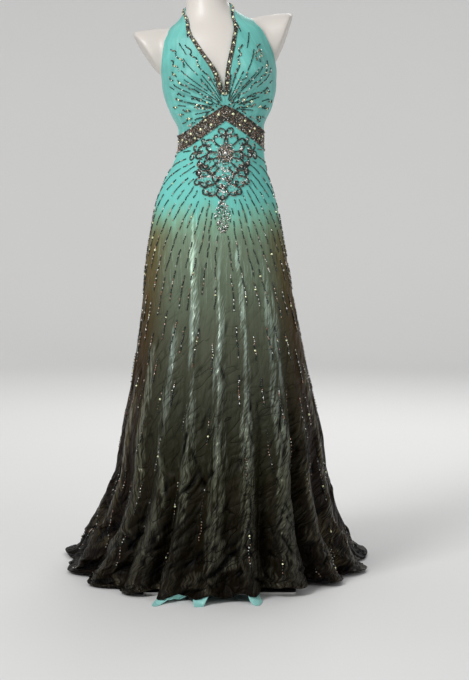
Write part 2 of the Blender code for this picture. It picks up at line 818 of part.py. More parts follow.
def stand(metal):
    """Square base, collar, pole, and the flange that the form is screwed to."""
    bm = bmesh.new()
    size = Matrix.Diagonal((BASE_SIDE, BASE_SIDE, BASE_THICK, 1.0))
    bmesh.ops.create_cube(bm, size=1.0, matrix=Matrix.Translation((0, 0, BASE_THICK / 2)) @ size)
    corners = [e for e in bm.edges if abs(e.verts[0].co.z - e.verts[1].co.z) > BASE_THICK / 2]
    bmesh.ops.bevel(bm, geom=corners, offset=BASE_CORNER, segments=4, profile=0.5, affect="EDGES")
    top = [e for e in bm.edges if min(v.co.z for v in e.verts) > BASE_THICK * 0.9]
    bmesh.ops.bevel(bm, geom=top, offset=0.001, segments=1, profile=0.5, affect="EDGES")
    mesh_object("stand_base", bm, metal)
    foot = BASE_THICK + SEAM_GAP
    flange_top = FORM_BOTTOM + form_drop() - SEAM_GAP
    flange_low = flange_top - FLANGE_THICK
    disc("stand_pole", POLE_RADIUS, foot, flange_low - SEAM_GAP, metal, bevel=0.001)
    bore = POLE_RADIUS + SEAM_GAP
    disc("pole_collar", COLLAR_RADIUS, foot, foot + COLLAR_TALL, metal, hole=bore, bevel=0.004)
    disc("form_flange", FLANGE_RADIUS, flange_low, flange_top, metal)


def form_drop():
    """How far the form's flat underside lies from its nominal height."""
    ring = rounded_end(form_ring(FORM_BOTTOM + 0.012, np.linspace(-180.0, 170.0, 36)), -0.012)
    return float(ring[:, 2].min()) - FORM_BOTTOM


def main():
    """Builds the gown and its form."""
    clear_scene()
    cloth = material("bodice_silk", (0.09, 0.55, 0.50), 0.45)
    skirt_cloth = material("skirt_organza", (0.13, 0.13, 0.09), 0.40)
    beads = material("beading", (0.10, 0.09, 0.08), 0.25, 0.6)
    lining_cloth = material("lining_silk", (0.15, 0.62, 0.58), 0.40)
    shell = material("form_white", (0.86, 0.84, 0.82), 0.35)
    metal = material("stand_steel", (0.55, 0.55, 0.56), 0.35, 0.9)
    bodice(cloth, beads)
    waistbands(beads)
    nape_fastening(cloth)
    skirt_panels(skirt_cloth)
    lining_hem(lining_cloth)
    dress_form(shell)
    stand(metal)


main()
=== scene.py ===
"""Looks of the halter evening gown and its dress form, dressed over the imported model.

Metres, +Z up. The gown's front faces -Y and the wearer's left is +X. Each cloth piece is a thin
shell on the form of its solid, with the small creases that the solids leave out, and all beading
is real geometry sewn to those surfaces.
"""

import logging
import math
from dataclasses import dataclass, field
from enum import Enum
from typing import Any, Callable, NamedTuple, Sequence

import bmesh
import bpy
import numpy as np
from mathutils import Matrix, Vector


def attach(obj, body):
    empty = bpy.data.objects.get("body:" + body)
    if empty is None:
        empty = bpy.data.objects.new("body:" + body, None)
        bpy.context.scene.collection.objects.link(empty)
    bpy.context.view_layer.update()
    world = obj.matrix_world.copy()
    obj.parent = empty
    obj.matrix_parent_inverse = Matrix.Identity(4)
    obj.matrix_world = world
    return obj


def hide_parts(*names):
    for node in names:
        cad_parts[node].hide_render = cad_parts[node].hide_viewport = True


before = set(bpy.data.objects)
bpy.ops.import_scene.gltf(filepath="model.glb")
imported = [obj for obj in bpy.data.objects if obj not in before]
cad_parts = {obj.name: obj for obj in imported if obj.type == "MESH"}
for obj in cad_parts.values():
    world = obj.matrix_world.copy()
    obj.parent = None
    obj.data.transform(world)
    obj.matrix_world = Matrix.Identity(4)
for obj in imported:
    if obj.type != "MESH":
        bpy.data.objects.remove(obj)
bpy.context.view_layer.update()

log = logging.getLogger("gown")

Array = np.ndarray
Colour = tuple[float, float, float]
Surface = Callable[[Array, Array], Array]
Socket = bpy.types.NodeSocket
Mesh = bpy.types.Mesh

SEAM_GAP = 0.0003
RIM_ANGLE = 62.0
FLOOR_CLEAR = 0.0002
TINY = 1e-12
ROOT = "root"


# ---- interpolation


def curve(at: Array, value: Array) -> Callable[[Any], Array]:
    """A monotone cubic through points, held level past its ends.

    Args:
        at: Places of the points, rising.
        value: Value at each place.

    Returns:
        A function that reads the curve anywhere.
    """
    step = np.diff(at)
    rise = np.diff(value) / step
    slope = np.zeros(len(at))
    slope[0], slope[-1] = rise[0], rise[-1]
    for i in range(1, len(at) - 1):
        if rise[i - 1] * rise[i] > 0:
            w_a, w_b = 2 * step[i] + step[i - 1], step[i] + 2 * step[i - 1]
            slope[i] = (w_a + w_b) / (w_a / rise[i - 1] + w_b / rise[i])

    def read(x: Any) -> Array:
        """Reads the curve at x."""
        x = np.clip(np.asarray(x, float), at[0], at[-1])
        i = np.clip(np.searchsorted(at, x) - 1, 0, len(at) - 2)
        t = (x - at[i]) / step[i]
        return (
            value[i] * (2 * t**3 - 3 * t**2 + 1)
            + value[i + 1] * (3 * t**2 - 2 * t**3)
            + slope[i] * step[i] * (t**3 - 2 * t**2 + t)
            + slope[i + 1] * step[i] * (t**3 - t**2)
        )

    return read


def track(rows: Sequence[Any], column: str) -> Callable[[Any], Array]:
    """A smooth curve through one named column of a table, read by the table's first column."""
    return curve(np.array([row[0] for row in rows]), column_of(rows, column))


def column_of(rows: Sequence[Any], column: str) -> Array:
    """One named column of a table."""
    return np.array([getattr(row, column) for row in rows])


def ease(x: Any) -> Array:
    """A smooth step from 0 to 1."""
    x = np.clip(x, 0.0, 1.0)
    return x * x * (3 - 2 * x)


def hump(x: Array) -> Array:
    """A smooth hump: 1 at 0, and 0 from -1 outwards and from 1 outwards."""
    return np.where(np.abs(x) < 1, np.cos(x * math.pi / 2) ** 2, 0.0)


def swell(x: Array) -> Array:
    """A fuller hump than the smooth one, for places at or above 0."""
    return np.where(x < 1, np.cos(x * math.pi / 2), 0.0)


def bilinear(grid: Array, i: Array, j: Array, k: Array, m: Array, s: Array, t: Array) -> Array:
    """Reads a grid between columns i and k and rows j and m, at the shares s and t of the way."""
    near = grid[i, j] * (1 - s) + grid[k, j] * s
    far = grid[i, m] * (1 - s) + grid[k, m] * s
    return near * (1 - t) + far * t


def wrapped(angle: Any) -> Array:
    """The angle in degrees, brought into -180 to 180."""
    return (np.asarray(angle, float) + 180.0) % 360.0 - 180.0


class SoftNoise:
    """Smooth noise from -1 to 1 over a plane, the same on each run."""

    def __init__(self, seed: int, size: int = 128) -> None:
        """Fills the lattice that the noise is read from."""
        self.size = size
        self.lattice = np.random.default_rng(seed).uniform(-1, 1, (size, size))

    def read(self, x: Array, y: Array) -> Array:
        """Reads the noise, whose features are one unit wide.

        Args:
            x: First coordinate.
            y: Second coordinate.

        Returns:
            Values from -1 to 1.
        """
        x, y = np.broadcast_arrays(x, y)
        i, j = np.floor(x).astype(int), np.floor(y).astype(int)
        s, t = ease(x - i), ease(y - j)
        i, j = i % self.size, j % self.size
        k, m = (i + 1) % self.size, (j + 1) % self.size
        return bilinear(self.lattice, i, j, k, m, s, t)


class Relief:
    """Depths over ring angle and hang, laid out once on a lattice and read between its points."""

    TURN, FALL = 0.25, 0.0025

    def __init__(self, low: float, high: float) -> None:
        """Lays out an empty lattice.

        Args:
            low: Lowest hang of the lattice.
            high: Highest hang of the lattice.
        """
        self.low = low
        self.turns = np.arange(-180.0, 180.0, self.TURN)
        self.falls = np.arange(low, high, self.FALL)
        self.depth = np.zeros((len(self.turns), len(self.falls)))

    def read(self, angle: Array, hang: Array) -> Array:
        """Reads the depth between the lattice's points.

        Args:
            angle: Ring angle in degrees.
            hang: Height where the cloth would hang.

        Returns:
            The depth there.
        """
        x = (wrapped(angle) + 180.0) / self.TURN
        y = np.clip((hang - self.low) / self.FALL, 0, len(self.falls) - 1.001)
        i, j = np.floor(x).astype(int), np.floor(y).astype(int)
        s, t = x - i, y - j
        i = i % len(self.turns)
        return bilinear(self.depth, i, j, (i + 1) % len(self.turns), j + 1, s, t)


# ---- the figure and the gown's cut


def table(kind: Callable[..., Any], *rows: Sequence[float]) -> tuple[Any, ...]:
    """A table whose rows are all of one kind."""
    return tuple(kind(*map(float, row)) for row in rows)


class Ring(NamedTuple):
    """One level section of the cloth: where it is widest, and how far it reaches each way."""

    height: float
    half_width: float
    front: float
    back: float
    widest: float = 0.0


class Stance(NamedTuple):
    """How the figure stands at one height: its centre line, its turn and its sideways slope."""

    height: float
    centre: float
    turn: float
    slope: float = 0.0


class Fold(NamedTuple):
    """A ridge (depth above zero) or trough that runs down to the hem, as seen at the hem."""

    angle: float
    half_width: float
    depth: float
    top: float
    lean: float


class Hem(NamedTuple):
    """How far the cloth runs on over the floor at a ring angle; below zero it stops above it."""

    angle: float
    run: float


class Edge(NamedTuple):
    """A row of the halter front: ring angle and height of its inner and its outer edge."""

    inner: float
    inner_height: float
    outer: float
    outer_height: float


class Crease(NamedTuple):
    """A crease pressed into the cloth: its middle, size, lean from upright, bow and depth."""

    angle: float
    hang: float
    length: float
    lean: float
    width: float
    depth: float
    bow: float


RINGS = table(
    Ring,
    (0, 0.372, 0.272, 0.6, 0.3), (0.06, 0.35, 0.268, 0.55, 0.24), (0.13, 0.309, 0.262, 0.5, 0.19),
    (0.2, 0.285, 0.254, 0.442, 0.15), (0.27, 0.266, 0.244, 0.39, 0.115), (0.38, 0.253, 0.226, 0.325, 0.075),
    (0.5, 0.229, 0.203, 0.27, 0.042), (0.62, 0.2075, 0.176, 0.222, 0.02), (0.74, 0.189, 0.148, 0.18, 0.008),
    (0.84, 0.1755, 0.124, 0.148), (0.91, 0.163, 0.112, 0.13), (0.97, 0.151, 0.104, 0.114),
    (1.02, 0.1335, 0.098, 0.098), (1.065, 0.116, 0.093, 0.087), (1.11, 0.107, 0.091, 0.081),
    (1.15, 0.107, 0.093, 0.083), (1.2, 0.128, 0.098, 0.092), (1.25, 0.141, 0.101, 0.099),
    (1.3, 0.1445, 0.102, 0.103), (1.345, 0.148, 0.096, 0.104), (1.38, 0.144, 0.086, 0.101),
    (1.402, 0.122, 0.075, 0.093), (1.42, 0.092, 0.065, 0.081), (1.44, 0.0675, 0.058, 0.067),
    (1.462, 0.056, 0.053, 0.057), (1.49, 0.0525, 0.051, 0.051), (1.56, 0.051, 0.05, 0.05),
)

STANCE = table(
    Stance,
    (0, -0.012, 1), (0.12, -0.006, 1.5), (0.3, 0.003, 2), (0.6, -0.001, 5), (0.86, -0.0085, 8),
    (1, -0.009, 9, 0.012), (1.12, 0.003, 8, 0.04), (1.2, 0.003, 6.5, 0.064),
    (1.27, -0.001, 4.5, 0.096), (1.345, -0.011, 2, 0.118), (1.42, -0.025, 1, 0.123),
    (1.462, -0.032, 1, 0.123), (1.49, -0.035, 1, 0.123), (1.56, -0.043, 1, 0.123),
)

HEMS = table(
    Hem,
    (-180, 0.2), (-150, 0.16), (-120, 0.07), (-95, 0.036), (-75, 0.028), (-50, 0.024),
    (-34, 0.014), (-25, -0.004), (-20.5, 0.016), (-15, -0.008), (-9, 0.01), (-3.5, -0.012),
    (2.5, 0.006), (8.5, -0.016), (13.5, 0), (20, -0.01), (26, -0.018), (33, -0.006), (40, -0.012),
    (49, 0.008), (60, 0.022), (75, 0.028), (95, 0.036), (120, 0.07), (150, 0.16), (180, 0.2),
)

FRONT_FOLDS = table(
    Fold,
    (-19.5, 6, 0.024, 0.98, -5), (-12, 4.5, -0.012, 0.55, -3), (-4.5, 5.5, 0.022, 0.95, 0),
    (3, 4.5, -0.014, 0.62, 1), (10.5, 5, 0.018, 0.9, 3), (19, 5.5, -0.05, 0.55, 6),
    (30, 8, 0.012, 0.88, 8), (41, 6, -0.06, 0.66, 8), (50, 5, 0.012, 0.5, 6),
    (59, 5.5, -0.026, 0.42, 6), (69, 7, 0.016, 0.6, 6), (-25.5, 4.5, -0.04, 0.42, -6),
    (-33.5, 6.5, 0.012, 0.7, -8), (-42, 5, -0.024, 0.4, -8), (-51, 6, 0.016, 0.66, -8),
    (-60, 6, -0.024, 0.36, -6), (-69, 7, 0.016, 0.55, -6),
)

BACK_FOLD_FIRST, BACK_FOLD_STEP = 80.0, 13.2
BACK_FOLD_DEPTHS = (-0.024, 0.018, -0.030, 0.022, -0.030, 0.030, -0.026, 0.030)
BACK_FOLD_TOPS = (0.50, 0.74, 0.58, 0.86, 0.52, 0.90, 0.60, 0.80)

HALTER = table(
    Edge,
    (0, 1.206, 112, 1.134), (0, 1.23, 103, 1.19), (3.6, 1.282, 94, 1.252),
    (12.5, 1.34, 79, 1.3), (21, 1.385, 62, 1.35), (30, 1.412, 56, 1.388),
    (46, 1.433, 66, 1.408), (78, 1.452, 90, 1.42), (112, 1.464, 118, 1.43),
    (148, 1.474, 150, 1.44), (180, 1.478, 180, 1.447),
)


class Figure:
    """The plain upright figure that the gown is cut for, and how its stance moves it."""

    BUST_ANGLE, BUST_SPREAD, BUST_DEPTH = 31.0, 20.0, 0.026
    BUST_HEIGHT, BUST_RISE, BUST_FALL = 1.278, 0.050, 0.042

    def __init__(self) -> None:
        """Reads the tables of rings and stances as curves."""
        self.half_width = track(RINGS, "half_width")
        self.front = track(RINGS, "front")
        self.back = track(RINGS, "back")
        self.widest = track(RINGS, "widest")
        self.centre = track(STANCE, "centre")
        self.turn = track(STANCE, "turn")
        self.slope = track(STANCE, "slope")

    def posed(self, x: Array, y: Array, height: Array, centre_y: Any = 0.0) -> Array:
        """Moves points of the upright figure to where its stance puts them.

        Args:
            x: Place across the figure.
            y: Place from front to back.
            height: Height above the floor.
            centre_y: Where the turn's axis lies from front to back.

        Returns:
            Points, with x, y and z in the last axis.
        """
        turn = np.radians(self.turn(height))
        ahead = y - centre_y
        across = x * np.cos(turn) - ahead * np.sin(turn)
        along = x * np.sin(turn) + ahead * np.cos(turn) + centre_y
        lifted = height + self.slope(height) * across
        return np.stack([across + self.centre(height), along, lifted], axis=-1)

    def bust(self, angle: Array, height: Array) -> Array:
        """How far the cups stand out of the plain ring."""
        side = np.exp(-(((np.abs(angle) - self.BUST_ANGLE) / self.BUST_SPREAD) ** 2))
        tall = np.where(height > self.BUST_HEIGHT, self.BUST_RISE, self.BUST_FALL)
        return self.BUST_DEPTH * side * np.exp(-(((height - self.BUST_HEIGHT) / tall) ** 2))

    def section(self, angle: Array, height: Array, out: Any) -> tuple[Array, Array, Array]:
        """A point of a level oval that reaches front and back by different amounts.

        Args:
            angle: Ring angle in degrees, 0 in front and positive to +X.
            height: Height that the ring is read at.
            out: How far the point is moved out.

        Returns:
            x, y and the y of the ring's widest place.
        """
        turned = np.radians(angle)
        forward = np.cos(turned)
        widest = self.widest(height)
        reach = np.where(forward > 0, self.front(height) + widest, self.back(height) - widest)
        x = (self.half_width(height) + out) * np.sin(turned)
        return x, widest - (reach + out) * forward, widest

    def surface(self, angle: Any, height: Any, out: Any = 0.0) -> Array:
        """The surface where the cloth follows the figure.

        Args:
            angle: Ring angle in degrees.
            height: Height above the floor.
            out: How far the surface is moved out.

        Returns:
            Points of the surface.
        """
        angle, height = np.broadcast_arrays(np.asarray(angle, float), np.asarray(height, float))
        x, y, _ = self.section(angle, height, out + self.bust(angle, height))
        return self.posed(x, y, height)


class BandCut:
    """The empire band: an inverted V in front, level behind."""

    TOP_FRONT, TOP_DROP, TOP_BACK = 1.206, 0.067, 1.126
    LOW_FRONT, LOW_DROP, LOW_BACK = 1.168, 0.074, 1.084

    def top(self, angle: Array) -> Array:
        """Height of the band's upper edge."""
        return self.edge(angle, self.TOP_FRONT, self.TOP_DROP, self.TOP_BACK)

    def low(self, angle: Array) -> Array:
        """Height of the band's lower edge, where the skirt is sewn on."""
        return self.edge(angle, self.LOW_FRONT, self.LOW_DROP, self.LOW_BACK)

    @staticmethod
    def edge(angle: Array, front: float, drop: float, back: float) -> Array:
        """Height of an edge that slopes from the front to the sides and eases level behind.

        Args:
            angle: Ring angle in degrees.
            front: Height at centre front.
            drop: How much lower it is at the sides.
            back: Height at centre back.

        Returns:
            Height of the edge.
        """
        slope = front - drop * np.abs(np.sin(np.radians(angle)))
        side = front - drop
        share = ease((np.abs(wrapped(angle)) - 90.0) / 70.0)
        return np.where(np.abs(wrapped(angle)) > 90.0, side + (back - side) * share, slope)


class SkirtCut:
    """The skirt's surface, from the band down to the hem that lies on the floor."""

    FLOOR_GAP, FOOT_BEND, KNEE = 0.0016, 0.022, 0.050
    FOOT_FLATTENS, HEM_WAVE, HEM_WAVES, WAVE_SWAY = 0.7, 0.020, 11.0, 40.0
    # The last of these is the crease depth at which the painted shade in the creases is full.
    CREASE_COUNT, CREASE_TOP, CREASE_FADE, FURROW_DEPTH = 1500, 0.86, 0.16, 0.0034
    GOLDEN = 0.61803
    CRINKLE, PLEATING = 0.0008, 0.0017
    BOW, EDGE, LIP, LIP_AT = 0.006, 1.5, 0.45, 1.6
    # How the bands and low patches of painted highlight wander, vary in width and strength, and fade.
    WANDER, WIDTH_VARIES, BAND_VARIES, BAND_FADE = 1.3, 0.45, 0.6, 0.09
    BEHIND, NARROW_BEHIND = 75.0, 0.5
    LOWEST, PATCHY_SIDE, PATCH_STRENGTH = 0.34, 60.0, 0.9

    def __init__(self, figure: Figure, band: BandCut) -> None:
        """Gathers the folds of front and train, and makes the creases with their painted shade."""
        self.figure, self.band = figure, band
        self.run = track(HEMS, "run")
        self.folds = FRONT_FOLDS + self.back_folds()
        self.fine = SoftNoise(11)
        self.relief, self.furrow = self.creased()

    @staticmethod
    def back_folds() -> tuple[Fold, ...]:
        """The train's folds: one run of depths on both sides, a little out of step."""
        made = []
        for i, (own, top) in enumerate(zip(BACK_FOLD_DEPTHS, BACK_FOLD_TOPS)):
            angle = BACK_FOLD_FIRST + BACK_FOLD_STEP * i
            width = BACK_FOLD_STEP * (0.62 if own > 0 else 0.50)
            mirror = (i + 3) % len(BACK_FOLD_DEPTHS)
            depth = math.copysign(BACK_FOLD_DEPTHS[mirror], own)
            made.append(Fold(angle, width, own, top, 3.0))
            made.append(Fold(-angle - 4.0, width, depth, BACK_FOLD_TOPS[mirror], -3.0))
        return tuple(made)

    def fold_reach(self, fold: Fold, angle: Array, height: Array) -> Array:
        """How strongly one fold acts at a place, from 0 to 1."""
        fade = ease((fold.top - height) / fold.top) ** 0.85
        return fade * hump(wrapped(angle - fold.angle - fold.lean * height) / fold.half_width)

    def fold_depth(self, angle: Array, height: Array) -> Array:
        """How far all folds together move the skirt out."""
        total = sum(fold.depth * self.fold_reach(fold, angle, height) for fold in self.folds)
        behind = ease((np.abs(wrapped(angle)) - 75.0) / 20.0)
        return total * (1 - self.FOOT_FLATTENS * behind * (1 - ease(height / 0.12)))

    def base(self, angle: Any, hang: Any) -> Array:
        """The skirt without its creases.

        Args:
            angle: Ring angle in degrees.
            hang: Height where the cloth would hang if the floor let it.

        Returns:
            Points of the surface.
        """
        angle, hang = np.broadcast_arrays(np.asarray(angle, float), np.asarray(hang, float))
        height = self.height(hang)
        out = height - hang + self.fold_depth(angle, height) + self.figure.bust(angle, height)
        x, y, widest = self.figure.section(angle, height, out)
        run = self.run(wrapped(angle))
        sway = self.WAVE_SWAY * np.sin(np.radians(angle * 2.0))
        ripple = 0.5 + 0.5 * np.cos(np.radians(angle * self.HEM_WAVES + sway))
        to_hem = np.clip(1 - (hang + run) / 0.16, 0, 1) ** 2
        points = self.figure.posed(x, y, height, widest)
        lift = self.HEM_WAVE * ripple * to_hem * ease(run / 0.10)
        points[..., 2] += self.FLOOR_GAP * (1 - ease(height / 0.3)) + lift
        return points

    def hang(self, angle: Array, level: Array) -> Array:
        """The hang at a row level: 0 at the band, 1 at the knee above the floor, 2 at the hem."""
        top = self.band.low(angle) - SEAM_GAP
        upper = top + (self.KNEE - top) * np.minimum(level, 1)
        return upper - (self.KNEE + self.run(wrapped(angle))) * np.clip(level - 1, 0, 1)

    def creases(self) -> list[Crease]:
        """The main creases of the front, listed, and like ones all round by a seeded rule."""
        made = list(FRONT_CREASES)
        dice = np.random.default_rng(23)
        for i in range(self.CREASE_COUNT):
            angle = -180.0 + 360.0 * ((i * self.GOLDEN) % 1.0)
            hang = self.CREASE_TOP * dice.random() ** 1.5 - 0.02
            low = 1 - min(1.0, hang / 0.7)
            length = (0.028 + 0.075 * dice.random() ** 1.6) * (2.0 - low)
            lean = dice.normal(9.0 + 36.0 * low, 7.0 + 14.0 * low)
            lean *= 1 if dice.random() < 0.74 else -0.8
            width = 0.0036 + 0.0034 * dice.random() + 0.0020 * (1 - low)
            depth = (0.0008 + 0.0034 * low) * (0.35 + 1.3 * dice.random() ** 2)
            depth *= -1 if dice.random() < 0.8 else 0.7
            made.append(Crease(angle, hang, length, lean, width, depth, dice.normal(0, 1.3)))
        return made

    def press(self, relief: Relief, crease: Crease) -> None:
        """Presses one crease into the relief, with a lip along one side of it.

        Args:
            relief: The relief.
            crease: The crease.
        """
        radius = float(self.figure.half_width(max(crease.hang, 0))) + max(-crease.hang, 0)
        around = math.radians(radius)
        turned = wrapped(relief.turns - crease.angle)
        columns = np.flatnonzero(np.abs(turned) < crease.length / around)
        rows = np.flatnonzero(np.abs(relief.falls - crease.hang) < crease.length)
        side = turned[columns][:, None] * around
        fall = (relief.falls[rows] - crease.hang)[None]
        lean = math.radians(crease.lean)
        along = (side * math.sin(lean) + fall * math.cos(lean)) / (crease.length / 2)
        across = side * math.cos(lean) - fall * math.sin(lean)
        across = (across + crease.bow * self.BOW * (along**2 - 0.3)) / crease.width
        lip = self.LIP * np.exp(-((across - self.LIP_AT) ** 2))
        pressed = np.exp(-self.EDGE * np.abs(across)) - lip
        relief.depth[np.ix_(columns, rows)] += crease.depth * hump(along) * pressed

    def creased(self) -> tuple[Relief, Relief]:
        """The relief of all creases with the finest crinkle, and the painted shade in the creases: how deep
        in a crease each place lies.
        """
        relief, furrow = Relief(-0.24, 1.19), Relief(-0.24, 1.19)
        for crease in self.creases():
            self.press(relief, crease)
        # Painted shade: darkens the cloth's colour where a crease is deep.
        furrow.depth = np.clip(-relief.depth / self.FURROW_DEPTH - 0.15, 0, 1)
        angle, hang = relief.turns[:, None], relief.falls[None]
        wide = np.radians(angle) * self.figure.half_width(np.maximum(hang, 0))
        low = ease((self.CREASE_TOP - hang) / 0.5)
        crinkle = self.fine.read(wide / 0.013 + hang * 7, hang / 0.085) * self.CRINKLE
        crinkle = crinkle + self.fine.read(wide / 0.024 + 31.0, hang / 0.110) * self.PLEATING
        total = relief.depth + crinkle * (0.34 + 0.66 * low)
        fade = ease((self.CREASE_TOP + 0.14 - hang) / self.CREASE_FADE)
        total = total * np.where(total < 0, fade, 0.35 + 0.65 * fade)
        relief.depth = np.maximum(total, -self.height(hang) - 0.0004)
        return relief, furrow

    def height(self, hang: Array) -> Array:
        """Height above the floor of cloth at a hang: it bends away where the floor stops it."""
        bent = self.FOOT_BEND * np.log1p(np.exp(np.minimum(hang, 0.3) / self.FOOT_BEND))
        return np.where(hang > 0.3, hang, bent)

    def satin(self, angle: Array, hang: Array) -> Array:
        """Where a highlight is painted and the weft is glossier: bands along the crests of the folds, which
        wander and break up, and patches low down.

        Args:
            angle: Ring angle in degrees.
            hang: Height where the cloth would hang.

        Returns:
            How strongly the painted highlight shows, from 0 to 1.
        """
        crest = np.zeros(np.broadcast(angle, hang).shape)
        read = self.fine.read
        for number, fold in enumerate(self.folds):
            if fold.depth > 0:
                wander = read(hang / 0.10 + number * 3.7, number * 1.3) * self.WANDER
                uneven = 0.95 + self.WIDTH_VARIES * read(hang / 0.11 + number, number * 2.9)
                half = fold.half_width * uneven
                half = half * (self.NARROW_BEHIND if abs(fold.angle) > self.BEHIND else 1.0)
                away = np.abs(wrapped(angle - fold.angle - fold.lean * hang + wander)) / half
                begin = ease((fold.top - hang) / self.BAND_FADE)
                strong = read(hang / 0.28 + number * 1.7, number * 5.3)
                begin = begin * (1.12 + self.BAND_VARIES * strong)
                crest = np.maximum(crest, begin * swell(away))
        broken = read(np.radians(angle) * 16 + hang * 2.2, hang / 0.12 + 7)
        # Patches of painted highlight low down, more of them at the sides of the train.
        patch = read(np.radians(angle) * 9 - hang * 6.0, hang / 0.045 + 3)
        beside = np.exp(-(((np.abs(wrapped(angle)) - self.PATCHY_SIDE) / 18.0) ** 2))
        patch = patch + 0.35 * beside * ease((0.20 - hang) / 0.10)
        low = ease((self.LOWEST - hang) / 0.26)
        patches = low * ease((patch - 0.02) / 0.5) * self.PATCH_STRENGTH
        return np.clip(np.maximum(crest * (0.80 + 0.50 * broken), patches), 0, 1)


class HalterCut:
    """A halter front, read by its place between neck edge and arm edge and by its row."""

    GATHERS, GATHER_DEPTH, GATHER_START, EDGE_CLEAR = 24.0, 0.0030, 1.19, 0.004

    def __init__(self, figure: Figure, band: BandCut) -> None:
        """Reads the table of edges as curves."""
        self.figure, self.band = figure, band
        columns = {name: column_of(HALTER, name) for name in Edge._fields}
        rows = np.arange(len(HALTER), dtype=float)
        self.edges = {name: curve(rows, column) for name, column in columns.items()}
        self.inner_at = curve(columns["inner_height"], columns["inner"])
        self.outer_at = curve(columns["outer_height"], columns["outer"])

    def place(self, across: Array, row: Array) -> tuple[Array, Array]:
        """Ring angle and height of a point of the panel.

        Args:
            across: 0 at the neck edge, 1 at the arm edge.
            row: Row of the table.

        Returns:
            Angle in degrees and height in metres.
        """
        inner, outer = self.edges["inner"](row), self.edges["outer"](row)
        high, low = self.edges["inner_height"](row), self.edges["outer_height"](row)
        angle = inner + (outer - inner) * across
        height = high + (low - high) * across
        first = HALTER[0]
        straight = first.inner_height + (first.outer_height - first.inner_height) * across
        seam = self.band.top(first.inner + (first.outer - first.inner) * across)
        return angle, height + (seam + SEAM_GAP - straight) * np.clip(1 - row / 2.0, 0, 1) ** 2

    def gather(self, angle: Array, height: Array) -> Array:
        """Soft gathers that fan out from the point of the band.

        Args:
            angle: Ring angle in degrees.
            height: Height above the floor.

        Returns:
            How far the gathers stand out.
        """
        across = np.radians(angle) * 0.15
        rise = height - self.GATHER_START
        bearing = np.arctan2(across, np.maximum(rise, 0.004))
        far = np.hypot(across, rise)
        fade = ease(far / 0.05) * (1 - ease((far - 0.07) / 0.12)) + 0.16
        wave = np.sin(bearing * self.GATHERS + 2.1 * np.sin(bearing * 5))
        return self.GATHER_DEPTH * fade * (0.5 + 0.5 * wave)

    def base(self, angle: Any, height: Any) -> Array:
        """The surface of the halter fronts at a ring angle and height."""
        return self.figure.surface(angle, height)

    def holds(self, angle: Array, height: Array, margin: float = 4.0) -> Array:
        """Whether a place lies on a panel, a margin in degrees inside its edges.

        Args:
            angle: Ring angle in degrees.
            height: Height above the floor.
            margin: Degrees kept clear of both edges.

        Returns:
            True where it does.
        """
        around = np.abs(angle)
        inner = np.where(height < HALTER[1].inner_height + self.EDGE_CLEAR, 0.3 * margin, margin)
        inside = (around > self.inner_at(height) + inner) & (around < self.outer_at(height) - margin)
        return inside & (height > self.band.top(angle) + self.EDGE_CLEAR)


# ---- meshes


def net_mesh(name: str, vertices: Array, faces: Sequence[Array]) -> Mesh:
    """Makes a mesh from arrays.

    Args:
        name: Name of the mesh.
        vertices: One row for each vertex.
        faces: Arrays of vertex numbers, each with faces of one size.

    Returns:
        The mesh.
    """
    corners = np.concatenate([part.ravel() for part in faces]).astype(np.int32)
    sizes = np.concatenate([np.full(len(part), part.shape[1]) for part in faces])
    starts = np.concatenate([[0], np.cumsum(sizes)[:-1]]).astype(np.int32)
    mesh = bpy.data.meshes.new(name)
    mesh.vertices.add(len(vertices))
    mesh.vertices.foreach_set("co", np.ascontiguousarray(vertices, np.float32).ravel())
    mesh.loops.add(len(corners))
    mesh.loops.foreach_set("vertex_index", corners)
    mesh.polygons.add(len(sizes))
    mesh.polygons.foreach_set("loop_start", starts)
    mesh.update(calc_edges=True)
    return mesh


def add_mask(mesh: Mesh, name: str, values: Array) -> None:
    """Stores one number for each vertex, for the finishes to read."""
    mesh.attributes.new(name, "FLOAT", "POINT").data.foreach_set("value", values.astype(np.float32))


def add_uv(mesh: Mesh, uv: Array) -> None:
    """Stores each vertex's place on the flat cloth, in metres.

    Args:
        mesh: The mesh.
        uv: Place of each vertex.
    """
    corners = np.zeros(len(mesh.loops), np.int32)
    mesh.loops.foreach_get("vertex_index", corners)
    layer = mesh.uv_layers.new(name="cloth")
    layer.data.foreach_set("uv", uv[corners].astype(np.float32).ravel())


def linked(name: str, data: Any) -> bpy.types.Object:
    """A new object in the scene."""
    made = bpy.data.objects.new(name, data)
    bpy.context.scene.collection.objects.link(made)
    return made


def add_piece(
    mesh: Mesh, finish: "Finish", replaces: Sequence[str] = (), smooth: bool = True,
) -> bpy.types.Object:
    """Links a mesh as a piece that rides on the part.

    Args:
        mesh: Its mesh, whose name the piece takes.
        finish: What it is finished in.
        replaces: CAD nodes that it stands for.
        smooth: Whether it is shaded smooth.

    Returns:
        The piece.
    """
    mesh.materials.append(finish.material())
    if smooth:
        mesh.shade_smooth()
        mesh.set_sharp_from_angle(angle=math.radians(RIM_ANGLE))
    piece = linked(mesh.name, mesh)
    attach(piece, ROOT)
    if replaces:
        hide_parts(*replaces)
    log.info("%s: %d faces", piece.name, len(mesh.polygons))
    return piece


def picks(count: int, step: int) -> Array:
    """Every step-th number below a count, with the last."""
    return np.unique(np.append(np.arange(0, count - 1, step), count - 1))


def lowest(values: Array, reach: int) -> Array:
    """The least value within a reach of each place of a grid.

    Args:
        values: The grid.
        reach: How many places away are looked at.

    Returns:
        The least values.
    """
    shifts = range(-reach, reach + 1)
    for axis in (0, 1):
        values = np.minimum.reduce([np.roll(values, shift, axis) for shift in shifts])
    return values


def unit(vectors: Array, least: float = 0.0) -> Array:
    """The vectors, each brought to length 1; least keeps one of no length from failing."""
    return vectors / np.maximum(np.linalg.norm(vectors, axis=-1, keepdims=True), least)


